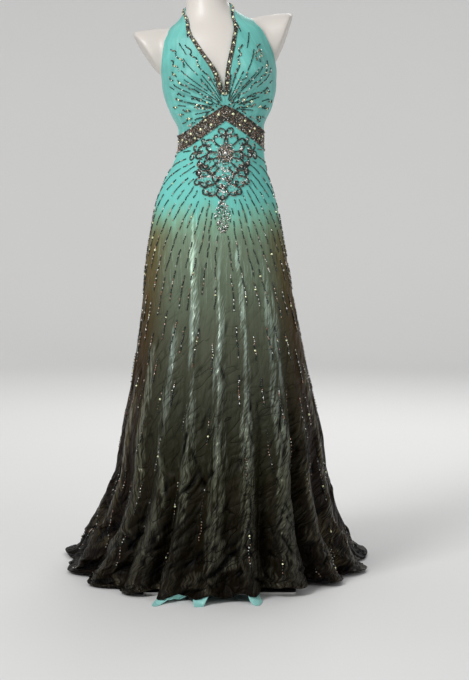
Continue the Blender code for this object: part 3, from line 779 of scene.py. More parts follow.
def quads(grid: Array) -> Array:
    """The four-sided faces of a grid of vertex numbers."""
    corners = (grid[:-1, :-1], grid[1:, :-1], grid[1:, 1:], grid[:-1, 1:])
    return np.stack(corners, axis=-1).reshape(-1, 4)


@dataclass
class ClothNet:
    """A net on a cloth, row by row: plain points, their normals, and how far each one rises."""

    base: Array
    normal: Array
    rise: Array
    masks: dict[str, Array] = field(default_factory=dict)

    def points(self) -> Array:
        """The net's own points."""
        return self.base + self.normal * self.rise[..., None]

    def area(self) -> float:
        """Area of the net in square metres."""
        p = self.points()
        one = np.cross(p[1:, :-1] - p[:-1, :-1], p[:-1, 1:] - p[:-1, :-1])
        two = np.cross(p[1:, :-1] - p[1:, 1:], p[:-1, 1:] - p[1:, 1:])
        return float((np.linalg.norm(one, axis=-1) + np.linalg.norm(two, axis=-1)).sum() / 2)

    def runs(self) -> tuple[Array, Array]:
        """How far each point lies along its row and down its column, in metres."""
        p = self.points()
        wide = np.linalg.norm(np.diff(p, axis=1), axis=-1).cumsum(axis=1)
        tall = np.linalg.norm(np.diff(p, axis=0), axis=-1).cumsum(axis=0)
        return np.pad(wide, ((0, 0), (1, 0))), np.pad(tall, ((1, 0), (0, 0)))

    def flat(self) -> Array:
        """Each point's place on the flat cloth in metres, measured from the middle of its row."""
        wide, tall = self.runs()
        return np.stack([wide - wide[:, wide.shape[1] // 2][:, None], tall], axis=-1)

    def rim(self, kept_rows: Array, kept_columns: Array) -> Array:
        """Triangles that join the border of the fine face to the border of the coarser back.

        Args:
            kept_rows: Rows that the back has.
            kept_columns: Columns that the back has.

        Returns:
            The triangles' vertex numbers, the back's after the face's.
        """
        rows, columns = self.rise.shape
        walk = [(0, j) for j in range(columns)] + [(i, columns - 1) for i in range(1, rows)]
        walk += [(rows - 1, j) for j in range(columns - 2, -1, -1)]
        walk += [(i, 0) for i in range(rows - 2, 0, -1)]
        start, wide = rows * columns, len(kept_columns)
        behind = {
            (int(i), int(j)): start + a * wide + b
            for a, i in enumerate(kept_rows) for b, j in enumerate(kept_columns)
        }
        face = [i * columns + j for i, j in walk]
        face.append(face[0])
        stops = [at for at, place in enumerate(walk) if place in behind]
        triangles = []
        for first, last in zip(stops, stops[1:] + [len(walk)]):
            near, far = behind[walk[first]], behind[walk[last % len(walk)]]
            turn = (first + last) // 2
            for at in range(first, last):
                triangles.append((face[at], face[at + 1], near if at < turn else far))
            triangles.append((near, face[turn], far))
        return np.array(triangles)

    def shell(self, name: str, thick: float, offset: float = 0.0, coarse: int = 1) -> Mesh:
        """A closed thin wall about the net, whose hidden back may be coarser than its face.

        Args:
            name: Name of the mesh.
            thick: Thickness of the wall.
            offset: How far the wall's middle lies outside the net.
            coarse: How many points of the face there are to each one of the back.

        Returns:
            The mesh, with its flat places as UV and its masks as attributes.
        """
        rows, columns = self.rise.shape
        kept = np.ix_(picks(rows, coarse), picks(columns, coarse))
        low = lowest(self.rise, coarse) if coarse > 1 else self.rise
        outer = self.base + self.normal * (self.rise + offset + thick / 2)[..., None]
        inner = (self.base + self.normal * (low + offset - thick / 2)[..., None])[kept]
        outer[..., 2] = np.maximum(outer[..., 2], FLOOR_CLEAR + thick / 2)
        inner[..., 2] = np.maximum(inner[..., 2], FLOOR_CLEAR)

        face = np.arange(rows * columns).reshape(rows, columns)
        back = np.arange(inner.shape[0] * inner.shape[1]).reshape(inner.shape[:2]) + rows * columns
        rim = self.rim(kept[0].ravel(), kept[1].ravel())
        sides = [np.concatenate([quads(face), quads(back)[:, ::-1]]), rim]
        i, j = rows // 2, columns // 2
        facing = np.cross(outer[i + 1, j] - outer[i, j], outer[i, j + 1] - outer[i, j])
        if np.dot(facing, self.normal[i, j]) < 0:
            sides = [part[:, ::-1] for part in sides]
        mesh = net_mesh(name, np.concatenate([outer.reshape(-1, 3), inner.reshape(-1, 3)]), sides)
        flat = self.flat()
        add_uv(mesh, np.concatenate([flat.reshape(-1, 2), flat[kept].reshape(-1, 2)]))
        for key, values in self.masks.items():
            add_mask(mesh, key, np.concatenate([values.ravel(), values[kept].ravel()]))
        return mesh


class Ground:
    """A cloth surface that things are sewn to, read by two coordinates."""

    TURN, RISE = 0.05, 0.0005

    def __init__(self, base: Surface, depth: Surface | None = None) -> None:
        """Keeps the plain surface and how far its creases move it."""
        self.base, self.depth = base, depth

    def normals(self, u: Array, v: Array) -> Array:
        """Unit normals of the plain surface, away from the upright axis.

        Args:
            u: First coordinate.
            v: Second coordinate.

        Returns:
            The normals.
        """
        along_u = self.base(u + self.TURN, v) - self.base(u - self.TURN, v)
        along_v = self.base(u, v + self.RISE) - self.base(u, v - self.RISE)
        normal = unit(np.cross(along_u, along_v), TINY)
        return normal * np.sign((normal[..., :2] * self.base(u, v)[..., :2]).sum())

    def net(self, u: Any, v: Any, **masks: Array) -> ClothNet:
        """The net over grids or lines of the two coordinates."""
        u, v = np.broadcast_arrays(np.asarray(u, float), np.asarray(v, float))
        rise = self.depth(u, v) if self.depth else np.zeros(u.shape)
        return ClothNet(self.base(u, v), self.normals(u, v), rise, dict(masks))

    def points(self, u: Any, v: Any, lift: float = 0.0) -> Array:
        """Points at a height above the surface, creases included."""
        net = self.net(u, v)
        net.rise = net.rise + lift
        return net.points()


def piping(name: str, path: Array, radius: float, sides: int = 6, **masks: Array) -> Mesh:
    """A thin round edging swept along a path.

    Args:
        name: Name of the mesh.
        path: Points along its middle.
        radius: Radius of the edging.
        sides: Faces round it.
        **masks: Numbers for the finishes, one for each point of the path.

    Returns:
        The mesh, closed at both ends.
    """
    along = unit(np.gradient(path, axis=0))
    up = np.tile([0.0, 0.0, 1.0], (len(path), 1))
    up[np.abs(along[:, 2]) > 0.9] = (0.0, 1.0, 0.0)
    side = unit(np.cross(along, up))
    up = np.cross(side, along)
    turn = np.arange(sides) * 2 * math.pi / sides
    ring = np.cos(turn)[:, None] * side[:, None] + np.sin(turn)[:, None] * up[:, None]
    vertices = (path[:, None] + radius * ring).reshape(-1, 3)
    i, j = np.meshgrid(np.arange(len(path) - 1), np.arange(sides), indexing="ij")
    k = (j + 1) % sides
    body = np.stack([i * sides + j, i * sides + k, (i + 1) * sides + k, (i + 1) * sides + j], -1)
    last = (len(path) - 1) * sides
    ends = np.stack([np.arange(sides)[::-1], np.arange(sides) + last])
    mesh = net_mesh(name, vertices, [body.reshape(-1, 4), ends])
    around = np.tile(turn * radius, len(path))
    add_uv(mesh, np.stack([np.repeat(run_of(path), sides), around], axis=1))
    for key, values in masks.items():
        add_mask(mesh, key, np.repeat(values, sides))
    return mesh


def run_of(path: Array) -> Array:
    """How far along a path each of its points lies."""
    return np.concatenate([[0.0], np.linalg.norm(np.diff(path, axis=0), axis=1).cumsum()])


# ---- beads


class BeadShape(Enum):
    """The shapes of bead that the embroidery uses."""

    BUGLE = "bugle"
    SEED = "seed"
    STONE = "stone"


def bead_template(shape: BeadShape) -> tuple[Array, list[Array]]:
    """One bead of unit size: x along its thread, z away from the cloth.

    Args:
        shape: Which bead.

    Returns:
        Its vertices and its faces, grouped by size.
    """
    if shape is BeadShape.BUGLE:
        j = np.arange(5)
        turn = j * 2 * math.pi / 5
        ring = np.stack([np.zeros(5), np.cos(turn), np.sin(turn)], axis=1) * 0.5
        vertices = np.concatenate([ring - (0.5, 0, 0), ring + (0.5, 0, 0)])
        sides = np.stack([j, j + 5, (j + 1) % 5 + 5, (j + 1) % 5], axis=1)
        return vertices, [sides, np.stack([j, (j + 5)[::-1]])]
    if shape is BeadShape.SEED:
        bm = bmesh.new()
        bmesh.ops.create_icosphere(bm, subdivisions=1, radius=0.5)
        vertices = np.array([vert.co for vert in bm.verts])
        faces = np.array([[vert.index for vert in face.verts] for face in bm.faces])
        bm.free()
        return vertices, [faces]
    j = np.arange(8)
    k = (j + 1) % 8
    girdle, table_ring = (
        np.stack([np.cos(turn), np.sin(turn), np.zeros(8)], axis=1) * 0.5
        for turn in (j * math.pi / 4, j * math.pi / 4 + 0.39)
    )
    levels = girdle - (0, 0, 0.5), girdle + (0, 0, 0.02), table_ring * 0.58 + (0, 0, 0.5)
    vertices = np.concatenate(levels)
    wall = np.stack([j, k, k + 8, j + 8], axis=1)
    lower = np.stack([j + 8, k + 8, j + 16], axis=1)
    upper = np.stack([k + 8, k + 16, j + 16], axis=1)
    return vertices, [wall, np.concatenate([lower, upper]), np.stack([j[::-1], j + 16])]


class Strand(NamedTuple):
    """How a line is strung: pitch, a bugle's length and width, one round in every few, bright share."""

    pitch: float
    length: float
    width: float
    every: int
    bright: float


@dataclass
class BeadTray:
    """Beads of one shape, each with its place, thread direction, cloth normal, size and tint."""

    shape: BeadShape
    rows: list[Array] = field(default_factory=list)
    tilt: float = 0.22
    bright_from: float = 0.62

    def add(
        self, centre: Array, thread: Array, normal: Array, size: Sequence[float], bright: float = 0.0,
    ) -> None:
        """Puts beads in the tray.

        Args:
            centre: Middle of each bead, on the cloth.
            thread: Direction of each bead's thread.
            normal: Cloth normal at each bead.
            size: Length, width and height of these beads.
            bright: Share of bright beads.
        """
        if len(centre):
            same = np.tile((*size, bright), (len(centre), 1))
            self.rows.append(np.concatenate([centre, thread, normal, same], axis=1))

    def mesh(self, name: str, seed: int) -> Mesh:
        """All beads joined into one mesh, each with its own tint and a little of its own tilt.

        Args:
            name: Name of the mesh.
            seed: Seed of the tints and tilts.

        Returns:
            The mesh.
        """
        dice = np.random.default_rng(seed)
        centre, thread, up, size, bright = np.split(np.concatenate(self.rows), (3, 6, 9, 12), axis=1)
        count = len(centre)
        size = size * dice.uniform(0.88, 1.10, (count, 1))
        up = unit(up + dice.normal(0, self.tilt, (count, 3)))
        thread = unit(thread - up * (thread * up).sum(axis=1, keepdims=True), TINY)
        side = np.cross(up, thread)
        template, groups = bead_template(self.shape)
        local = template[None] * size[:, None]
        axes = np.stack([thread, side, up], axis=1)
        vertices = centre[:, None] + up[:, None] * size[:, None, 2:] / 2 + local @ axes
        vertices[..., 2] += np.maximum(FLOOR_CLEAR - vertices[..., 2].min(axis=1), 0)[:, None]
        shift = (np.arange(count) * len(template))[:, None, None]
        faces = [(part[None] + shift).reshape(-1, part.shape[1]) for part in groups]
        mesh = net_mesh(name, vertices.reshape(-1, 3), faces)
        is_bright = dice.random(count) < bright[:, 0]
        high, low = dice.uniform(self.bright_from, 1, count), dice.uniform(0, self.bright_from, count)
        add_mask(mesh, "tint", np.repeat(np.where(is_bright, high, low), len(template)))
        return mesh


class Needle:
    """Sews beads to a ground: along lines, and scattered over strips."""

    ROUND_BRIGHT, ROUND_WIDER, STONE_HEIGHT = 0.22, 1.3, 0.6
    LOOSE_BUGLE, LOOSE_SEED = (0.0038, 0.0017, 0.0018), (0.0027, 0.0027, 0.0025)

    def __init__(self, ground: Ground, lift: float) -> None:
        """Keeps the ground, and how far above its middle the cloth's face lies."""
        self.ground, self.lift = ground, lift
        self.bugles = BeadTray(BeadShape.BUGLE)
        self.seeds = BeadTray(BeadShape.SEED)
        self.stones = BeadTray(BeadShape.STONE)

    def line(self, u: Array, v: Array, strand: Strand, keep: Callable | None = None) -> None:
        """Sews a line of bugles with a round bead at every few.

        Args:
            u: First coordinate along the line.
            v: Second coordinate along the line.
            strand: How the line is strung.
            keep: Which places may hold a bead.
        """
        path = self.ground.points(u, v, self.lift)
        far = run_of(path)
        at = np.arange(strand.pitch / 2, far[-1], strand.pitch)
        if not len(at):
            return
        u_at, v_at = np.interp(at, far, u), np.interp(at, far, v)
        good = np.ones(len(at), bool) if keep is None else keep(u_at, v_at)
        centre, normal = self.ground.points(u_at, v_at, self.lift), self.ground.normals(u_at, v_at)
        ahead, behind = (
            np.stack([np.interp(at + shift, far, path[:, i]) for i in range(3)], axis=1)
            for shift in (strand.pitch / 3, -strand.pitch / 3)
        )
        thread = ahead - behind
        is_round = np.arange(len(at)) % strand.every == strand.every - 1
        bugle = (strand.length, strand.width, strand.width)
        seed = (strand.width * self.ROUND_WIDER,) * 3
        for tray, chosen, size, bright in (
            (self.bugles, good & ~is_round, bugle, strand.bright),
            (self.seeds, good & is_round, seed, strand.bright + self.ROUND_BRIGHT),
        ):
            tray.add(centre[chosen], thread[chosen], normal[chosen], size, bright)

    def stone(self, u: Any, v: Any, size: float) -> None:
        """Sews one cut stone, facing out from the cloth.

        Args:
            u: Its first coordinate.
            v: Its second coordinate.
            size: Its width.
        """
        u_at, v_at = (np.array([place], float).ravel() for place in (u, v))
        centre = self.ground.points(u_at, v_at, self.lift)
        thread = self.ground.points(u_at + 0.2, v_at, self.lift) - centre
        full = (size, size, size * self.STONE_HEIGHT)
        self.stones.add(centre, thread, self.ground.normals(u_at, v_at), full)

    def scatter(self, u: Array, v: Array, round_share: float, bright: float, seed: int) -> None:
        """Covers places with bugles and round beads laid at all angles.

        Args:
            u: First coordinate of each place.
            v: Second coordinate of each place.
            round_share: Share of round beads.
            bright: Share of bright beads.
            seed: Seed of the choice and of the angles.
        """
        dice = np.random.default_rng(seed)
        heading = dice.uniform(0, math.pi, len(u))[:, None]
        centre, normal = self.ground.points(u, v, self.lift), self.ground.normals(u, v)
        across = unit(np.cross(normal, [0.0, 0.0, 1.0]))
        thread = across * np.cos(heading) + np.cross(normal, across) * np.sin(heading)
        is_round = dice.random(len(u)) < round_share
        for tray, chosen, size in (
            (self.bugles, ~is_round, self.LOOSE_BUGLE), (self.seeds, is_round, self.LOOSE_SEED),
        ):
            tray.add(centre[chosen], thread[chosen], normal[chosen], size, bright)

    def finish(self, name: str, beads: "Finish", stones: "Finish", seed: int) -> list[bpy.types.Object]:
        """Joins what was sewn into pieces, one for each shape of bead.

        Args:
            name: First part of the pieces' names.
            beads: Finish of bugles and round beads.
            stones: Finish of cut stones.
            seed: Seed of their tints.

        Returns:
            The pieces.
        """
        pieces = []
        for tray, finish in ((self.bugles, beads), (self.seeds, beads), (self.stones, stones)):
            if tray.rows:
                mesh = tray.mesh(f"{name}_{tray.shape.value}s", seed + len(pieces))
                is_round = tray.shape is BeadShape.SEED
                pieces.append(add_piece(mesh, finish, smooth=is_round))
        return pieces


def lanes_of(
    dice: np.random.Generator, length: float, pitch: float, lanes: Array, loose: float, drift: float,
) -> tuple[Array, Array]:
    """Places for beads in lanes along a strip, each a little off its own.

    Args:
        dice: Where the chances come from.
        length: Length of the strip.
        pitch: Distance from bead to bead.
        lanes: Share of the strip's width where each lane runs.
        loose: How far a bead may be off along its lane, in pitches.
        drift: How far it may be off across, as a share of the width.

    Returns:
        How far along each place lies, and at which share of the width.
    """
    count = int(length / pitch)
    jitter = dice.uniform(-loose, loose, (count, len(lanes)))
    along = (np.arange(count)[:, None] + 0.5 + jitter) * pitch
    shares = lanes + dice.uniform(-drift, drift, along.shape)
    return along.ravel(), shares.ravel()


# ---- shader graphs


class Graph:
    """Adds nodes to a tree and joins them, from values or from sockets."""

    def __init__(self, tree: bpy.types.NodeTree) -> None:
        """Keeps the tree."""
        self.tree = tree

    def feed(self, socket: Socket, value: Any) -> None:
        """Sets a socket to a value, or joins another socket to it.

        Args:
            socket: The input.
            value: A value, a socket, or None to leave it alone.
        """
        if isinstance(value, Socket):
            self.tree.links.new(value, socket)
        elif value is not None:
            if hasattr(socket.default_value, "__len__") and len(socket.default_value) == 4:
                value = (*value, 1.0) if len(value) == 3 else value
            socket.default_value = value

    def add(self, kind: str, inputs: dict[Any, Any] | None = None, **settings: Any) -> bpy.types.Node:
        """Adds a node.

        Args:
            kind: Type of the node.
            inputs: Values or sockets for its inputs, by name or number.
            **settings: Its other settings.

        Returns:
            The node.
        """
        node = self.tree.nodes.new(kind)
        node.location = (220 * (len(self.tree.nodes) % 9), -180 * (len(self.tree.nodes) // 9))
        for key, value in settings.items():
            setattr(node, key, value)
        for key, value in (inputs or {}).items():
            self.feed(node.inputs[key], value)
        return node

    def math(self, operation: str, a: Any, b: Any = None, clamp: bool = False) -> Socket:
        """One sum on one or two numbers."""
        node = self.add("ShaderNodeMath", {0: a, 1: b}, operation=operation, use_clamp=clamp)
        return node.outputs[0]

    def times(self, a: Any, b: Any) -> Socket:
        """The product of two numbers."""
        return self.math("MULTIPLY", a, b)

    def plus(self, a: Any, b: Any) -> Socket:
        """The sum of two numbers."""
        return self.math("ADD", a, b)

    def ridge(self, noise: Any) -> Socket:
        """How far noise lies from its middle, which draws a sharp line along that middle."""
        return self.math("ABSOLUTE", self.math("SUBTRACT", noise, 0.5))

    def vector(self, operation: str, a: Any, key: Any, b: Any) -> Socket:
        """One sum on a vector and on what its other input, named by the key, takes."""
        return self.add("ShaderNodeVectorMath", {0: a, key: b}, operation=operation).outputs[0]

    def mix(self, share: Any, a: Any, b: Any, blend: str = "MIX") -> Socket:
        """Mixes two colours."""
        inputs = {0: share, 6: a, 7: b}
        node = self.add("ShaderNodeMix", inputs, data_type="RGBA", blend_type=blend)
        return node.outputs[2]

    def ramp(self, share: Any, stops: Sequence[tuple[float, Colour]]) -> Socket:
        """A run of colours over a range from 0 to 1.

        Args:
            share: Where the run is read.
            stops: Each colour with its place.

        Returns:
            The colour there.
        """
        node = self.add("ShaderNodeValToRGB", {0: share})
        while len(node.color_ramp.elements) < len(stops):
            node.color_ramp.elements.new(0.5)
        for element, (at, colour) in zip(node.color_ramp.elements, stops):
            element.position = at
            element.color = (*colour, 1.0)
        return node.outputs[0]

    def spread(
        self, value: Any, low: float, high: float, to_low: float = 0.0, to_high: float = 1.0,
        kind: str = "LINEAR",
    ) -> Socket:
        """Maps a range of values onto another, held at both ends."""
        inputs = {0: value, 1: low, 2: high, 3: to_low, 4: to_high}
        return self.add("ShaderNodeMapRange", inputs, interpolation_type=kind).outputs[0]

    def noise(self, vector: Any, scale: Any, detail: float = 3.0, distortion: float = 0.0) -> Any:
        """Soft noise from 0 to 1."""
        inputs = {"Vector": vector, "Scale": scale, "Detail": detail, "Distortion": distortion}
        return self.add("ShaderNodeTexNoise", inputs).outputs[0]

    def cells(self, vector: Any, wide: float, tall: float, lean: float = 0.0) -> Any:
        """Coordinates counted in cells of a width and height in metres, leaning by some degrees."""
        inputs = {"Vector": vector, "Scale": (wide, tall, wide), "Rotation": (0, 0, math.radians(lean))}
        return self.add("ShaderNodeMapping", inputs, vector_type="TEXTURE").outputs[0]

    def cloth(self) -> Any:
        """Places on the flat cloth, in metres."""
        return self.add("ShaderNodeUVMap", uv_map="cloth").outputs[0]

    def place(self) -> Any:
        """Places on the piece itself, in metres."""
        return self.add("ShaderNodeTexCoord").outputs["Object"]

    def grey(self, value: Any) -> Any:
        """A grey as bright as a value."""
        return self.add("ShaderNodeCombineColor", {0: value, 1: value, 2: value}).outputs[0]

    def mask(self, name: str) -> Socket:
        """Reads one of the numbers that the mesh stores at its vertices."""
        node = self.add("ShaderNodeAttribute", attribute_name=name, attribute_type="GEOMETRY")
        return node.outputs["Fac"]

    def bump(self, height: Any, depth: float, strength: float = 1.0, normal: Any = None) -> Any:
        """Turns a height into a normal."""
        inputs = {"Height": height, "Distance": depth, "Strength": strength, "Normal": normal}
        return self.add("ShaderNodeBump", inputs).outputs[0]


class Effect:
    """A shader node group with named sockets, built once and placed in each material."""

    def __init__(
        self, name: str, inputs: dict[str, float | None], outputs: dict[str, str],
        build: Callable[[Graph, dict[str, Any]], dict[str, Any]],
    ) -> None:
        """Builds the group.

        Args:
            name: Name of the group.
            inputs: Its number inputs with their usual values; None makes a vector input.
            outputs: Its outputs, each Float or Color.
            build: Makes the nodes from the input sockets and returns the output sockets.
        """
        self.tree = bpy.data.node_groups.new(name, "ShaderNodeTree")
        for key, value in inputs.items():
            kind = "NodeSocketVector" if value is None else "NodeSocketFloat"
            socket = self.tree.interface.new_socket(key, in_out="INPUT", socket_type=kind)
            if value is not None:
                socket.default_value = value
        for key, kind in outputs.items():
            self.tree.interface.new_socket(key, in_out="OUTPUT", socket_type=f"NodeSocket{kind}")
        graph = Graph(self.tree)
        source = graph.add("NodeGroupInput")
        made = build(graph, {key: source.outputs[key] for key in inputs})
        graph.add("NodeGroupOutput", made)

    def place(self, graph: Graph, **values: Any) -> dict[str, Socket]:
        """Places the group in a material and returns its outputs by name."""
        node = graph.add("ShaderNodeGroup", node_tree=self.tree)
        for key, value in values.items():
            graph.feed(node.inputs[key.replace("_", " ")], value)
        return {socket.name: socket for socket in node.outputs}


def build_weave(graph: Graph, given: dict[str, Any]) -> dict[str, Any]:
    """Plain weave: crossing threads with slubs along them.

    Args:
        graph: The group's nodes.
        given: Its input sockets by name.

    Returns:
        The output sockets by name.
    """
    inputs = {"Vector": given["Cloth"], "Scale": given["Threads"], "Distortion": 0.4}
    threads = [
        graph.add("ShaderNodeTexWave", inputs, wave_type="BANDS", bands_direction=way).outputs[1]
        for way in ("X", "Y")
    ]
    slub = graph.noise(graph.cells(given["Cloth"], 0.0014, 0.038), 1.0, 2.0)
    cross = graph.math("MAXIMUM", *threads)
    return {"Height": graph.plus(graph.times(cross, 0.55), graph.times(slub, 0.6)), "Slub": slub}


def build_crumple(graph: Graph, given: dict[str, Any]) -> dict[str, Any]:
    """Crushed silk: sharp leaning creases that part soft puffs, over long fine upright pleats.

    Args:
        graph: The group's nodes.
        given: Its input sockets by name.

    Returns:
        The output sockets by name.
    """
    plain = graph.vector("SCALE", given["Cloth"], "Scale", given["Size"])
    sway = graph.add("ShaderNodeTexNoise", {"Vector": plain, "Scale": 7.0, "Detail": 2.0}).outputs["Color"]
    bent = graph.vector("SCALE", graph.vector("SUBTRACT", sway, 1, (0.5, 0.5, 0.5)), "Scale", 0.016)
    cloth = graph.vector("ADD", plain, 1, bent)
    patches = graph.noise(graph.cells(plain, 0.11, 0.16), 1.0, 2.0)
    breaks = graph.noise(graph.cells(cloth, 0.028, 0.052, 30.0), 1.0, 2.0)
    upright = graph.noise(graph.cells(cloth, 0.010, 0.34), 1.0, 3.0, 0.3)
    pleats = graph.ridge(upright)
    valleys = [
        graph.ridge(graph.noise(graph.cells(cloth, wide, tall, lean), 1.0, 1.0))
        for wide, tall, lean in ((0.040, 0.150, 38.0), (0.032, 0.110, 60.0), (0.016, 0.120, 10.0))
    ]
    shares = (
        graph.spread(breaks, 0.44, 0.58), graph.spread(patches, 0.44, 0.58),
        graph.spread(breaks, 0.54, 0.42, 0.0, 0.6),
    )
    lines = 0.0
    for valley, share, reach in zip(valleys, shares, (0.014, 0.014, 0.024)):
        line = graph.times(graph.spread(valley, 0.0, reach, 1.0, 0.0, "SMOOTHSTEP"), share)
        lines = graph.math("MAXIMUM", lines, line)
    puffs = graph.plus(graph.times(valleys[0], 5.2), graph.times(valleys[1], 4.0))
    puffs = graph.plus(puffs, graph.times(valleys[2], 0.9))
    height = graph.math("SUBTRACT", puffs, graph.times(lines, 0.35))
    return {"Height": height, "Lines": lines, "Pleats": graph.times(pleats, -2.0), "Sheen": upright}


def build_glint(graph: Graph, given: dict[str, Any]) -> dict[str, Any]:
    """The lustre of glass beads, which differs from bead to bead."""
    tint = given["Tint"]
    return {"Colour": graph.ramp(tint, BEAD_GLASS), "Gloss": graph.spread(tint, 0.0, 1.0, 0.22, 0.10)}


def build_handling(graph: Graph, given: dict[str, Any]) -> dict[str, Any]:
    """Faint marks of handling: soft blotches and hair-fine scuffs."""
    return {
        "Blotch": graph.noise(given["Place"], given["Size"], 3.0),
        "Scuff": graph.noise(graph.cells(given["Place"], 0.004, 0.055, 12.0), 1.0, 2.0),
    }


class Effects:
    """The shared effects, each built when first asked for."""

    made: dict[str, Effect] = {}
    recipes = {
        "weave": ({"Cloth": None, "Threads": 420.0}, {"Height": "Float", "Slub": "Float"}, build_weave),
        "crumple": (
            {"Cloth": None, "Size": 1.0},
            {"Height": "Float", "Lines": "Float", "Pleats": "Float", "Sheen": "Float"}, build_crumple,
        ),
        "glint": ({"Tint": 0.5}, {"Colour": "Color", "Gloss": "Float"}, build_glint),
        "handling": ({"Place": None, "Size": 1.0}, {"Blotch": "Float", "Scuff": "Float"}, build_handling),
    }

    @classmethod
    def place(cls, name: str, graph: Graph, **values: Any) -> dict[str, Socket]:
        """Places the named effect in a material and returns its outputs by name."""
        if name not in cls.made:
            cls.made[name] = Effect(name, *cls.recipes[name])
        return cls.made[name].place(graph, **values)


# ---- finishes


@dataclass(frozen=True)
class Finish:
    """A surface finish with the numbers that are the same all over it."""

    name: str
    roughness: float = 0.5
    metallic: float = 0.0
    sheen: float = 0.0
    sheen_roughness: float = 0.4
    coat: float = 0.0
    specular: float = 0.5

    def dress(self, graph: Graph) -> dict[str, Any]:
        """Sockets that change over the surface, by the shader's input."""
        return {}

    def material(self) -> bpy.types.Material:
        """The finish as a material, made once."""
        found = bpy.data.materials.get(self.name)
        if found:
            return found
        made = bpy.data.materials.new(self.name)
        made.use_nodes = True
        shader = made.node_tree.nodes["Principled BSDF"]
        for key, value in (
            ("Roughness", self.roughness), ("Metallic", self.metallic), ("Sheen Weight", self.sheen),
            ("Sheen Roughness", self.sheen_roughness), ("Coat Weight", self.coat),
            ("Coat Roughness", 0.12), ("Specular IOR Level", self.specular),
        ):
            shader.inputs[key].default_value = value
        graph = Graph(made.node_tree)
        for key, value in self.dress(graph).items():
            graph.feed(shader.inputs[key], value)
        return made


@dataclass(frozen=True)
class Toned(Finish):
    """A finish of one colour that is darker in places."""

    colour: Colour = (0.5, 0.5, 0.5)

    def toned(self, graph: Graph, share: Any, deep: float) -> Any:
        """The colour where the share is 1, and its deep tone where the share is 0."""
        return graph.mix(share, tuple(deep * part for part in self.colour), self.colour)


@dataclass(frozen=True)
class TurquoiseSilk(Finish):
    """Satin-faced silk under chiffon: turquoise, a little uneven in its dye, with a painted sheen along its
    upright pleats.
    """

    bright: Colour = (0.180, 0.585, 0.525)
    deep: Colour = (0.115, 0.440, 0.395)

    def dress(self, graph: Graph) -> dict[str, Any]:
        """Mottled dye with a painted sheen along the upright pleats, soft crumples and weave.

        Args:
            graph: The material's nodes.

        Returns:
            Sockets for the shader's inputs.
        """
        cloth = graph.cloth()
        mottle = graph.noise(cloth, 14.0, 3.0)
        crumple = Effects.place("crumple", graph, Cloth=cloth, Size=0.8)
        weave = Effects.place("weave", graph, Cloth=cloth)
        # Lighter along the upright pleats as a painted sheen, mixed with the dye's own mottle.
        share = graph.plus(graph.times(mottle, 0.6), graph.times(crumple["Sheen"], 0.4))
        rough = self.roughness
        pleats = graph.bump(crumple["Pleats"], 0.0012, 0.6)
        return {
            "Base Color": graph.mix(graph.spread(share, 0.40, 0.60), self.deep, self.bright),
            "Roughness": graph.spread(weave["Slub"], 0.2, 0.8, rough - 0.08, rough + 0.10),
            "Normal": graph.bump(weave["Height"], 0.00012, 0.5, pleats),
        }


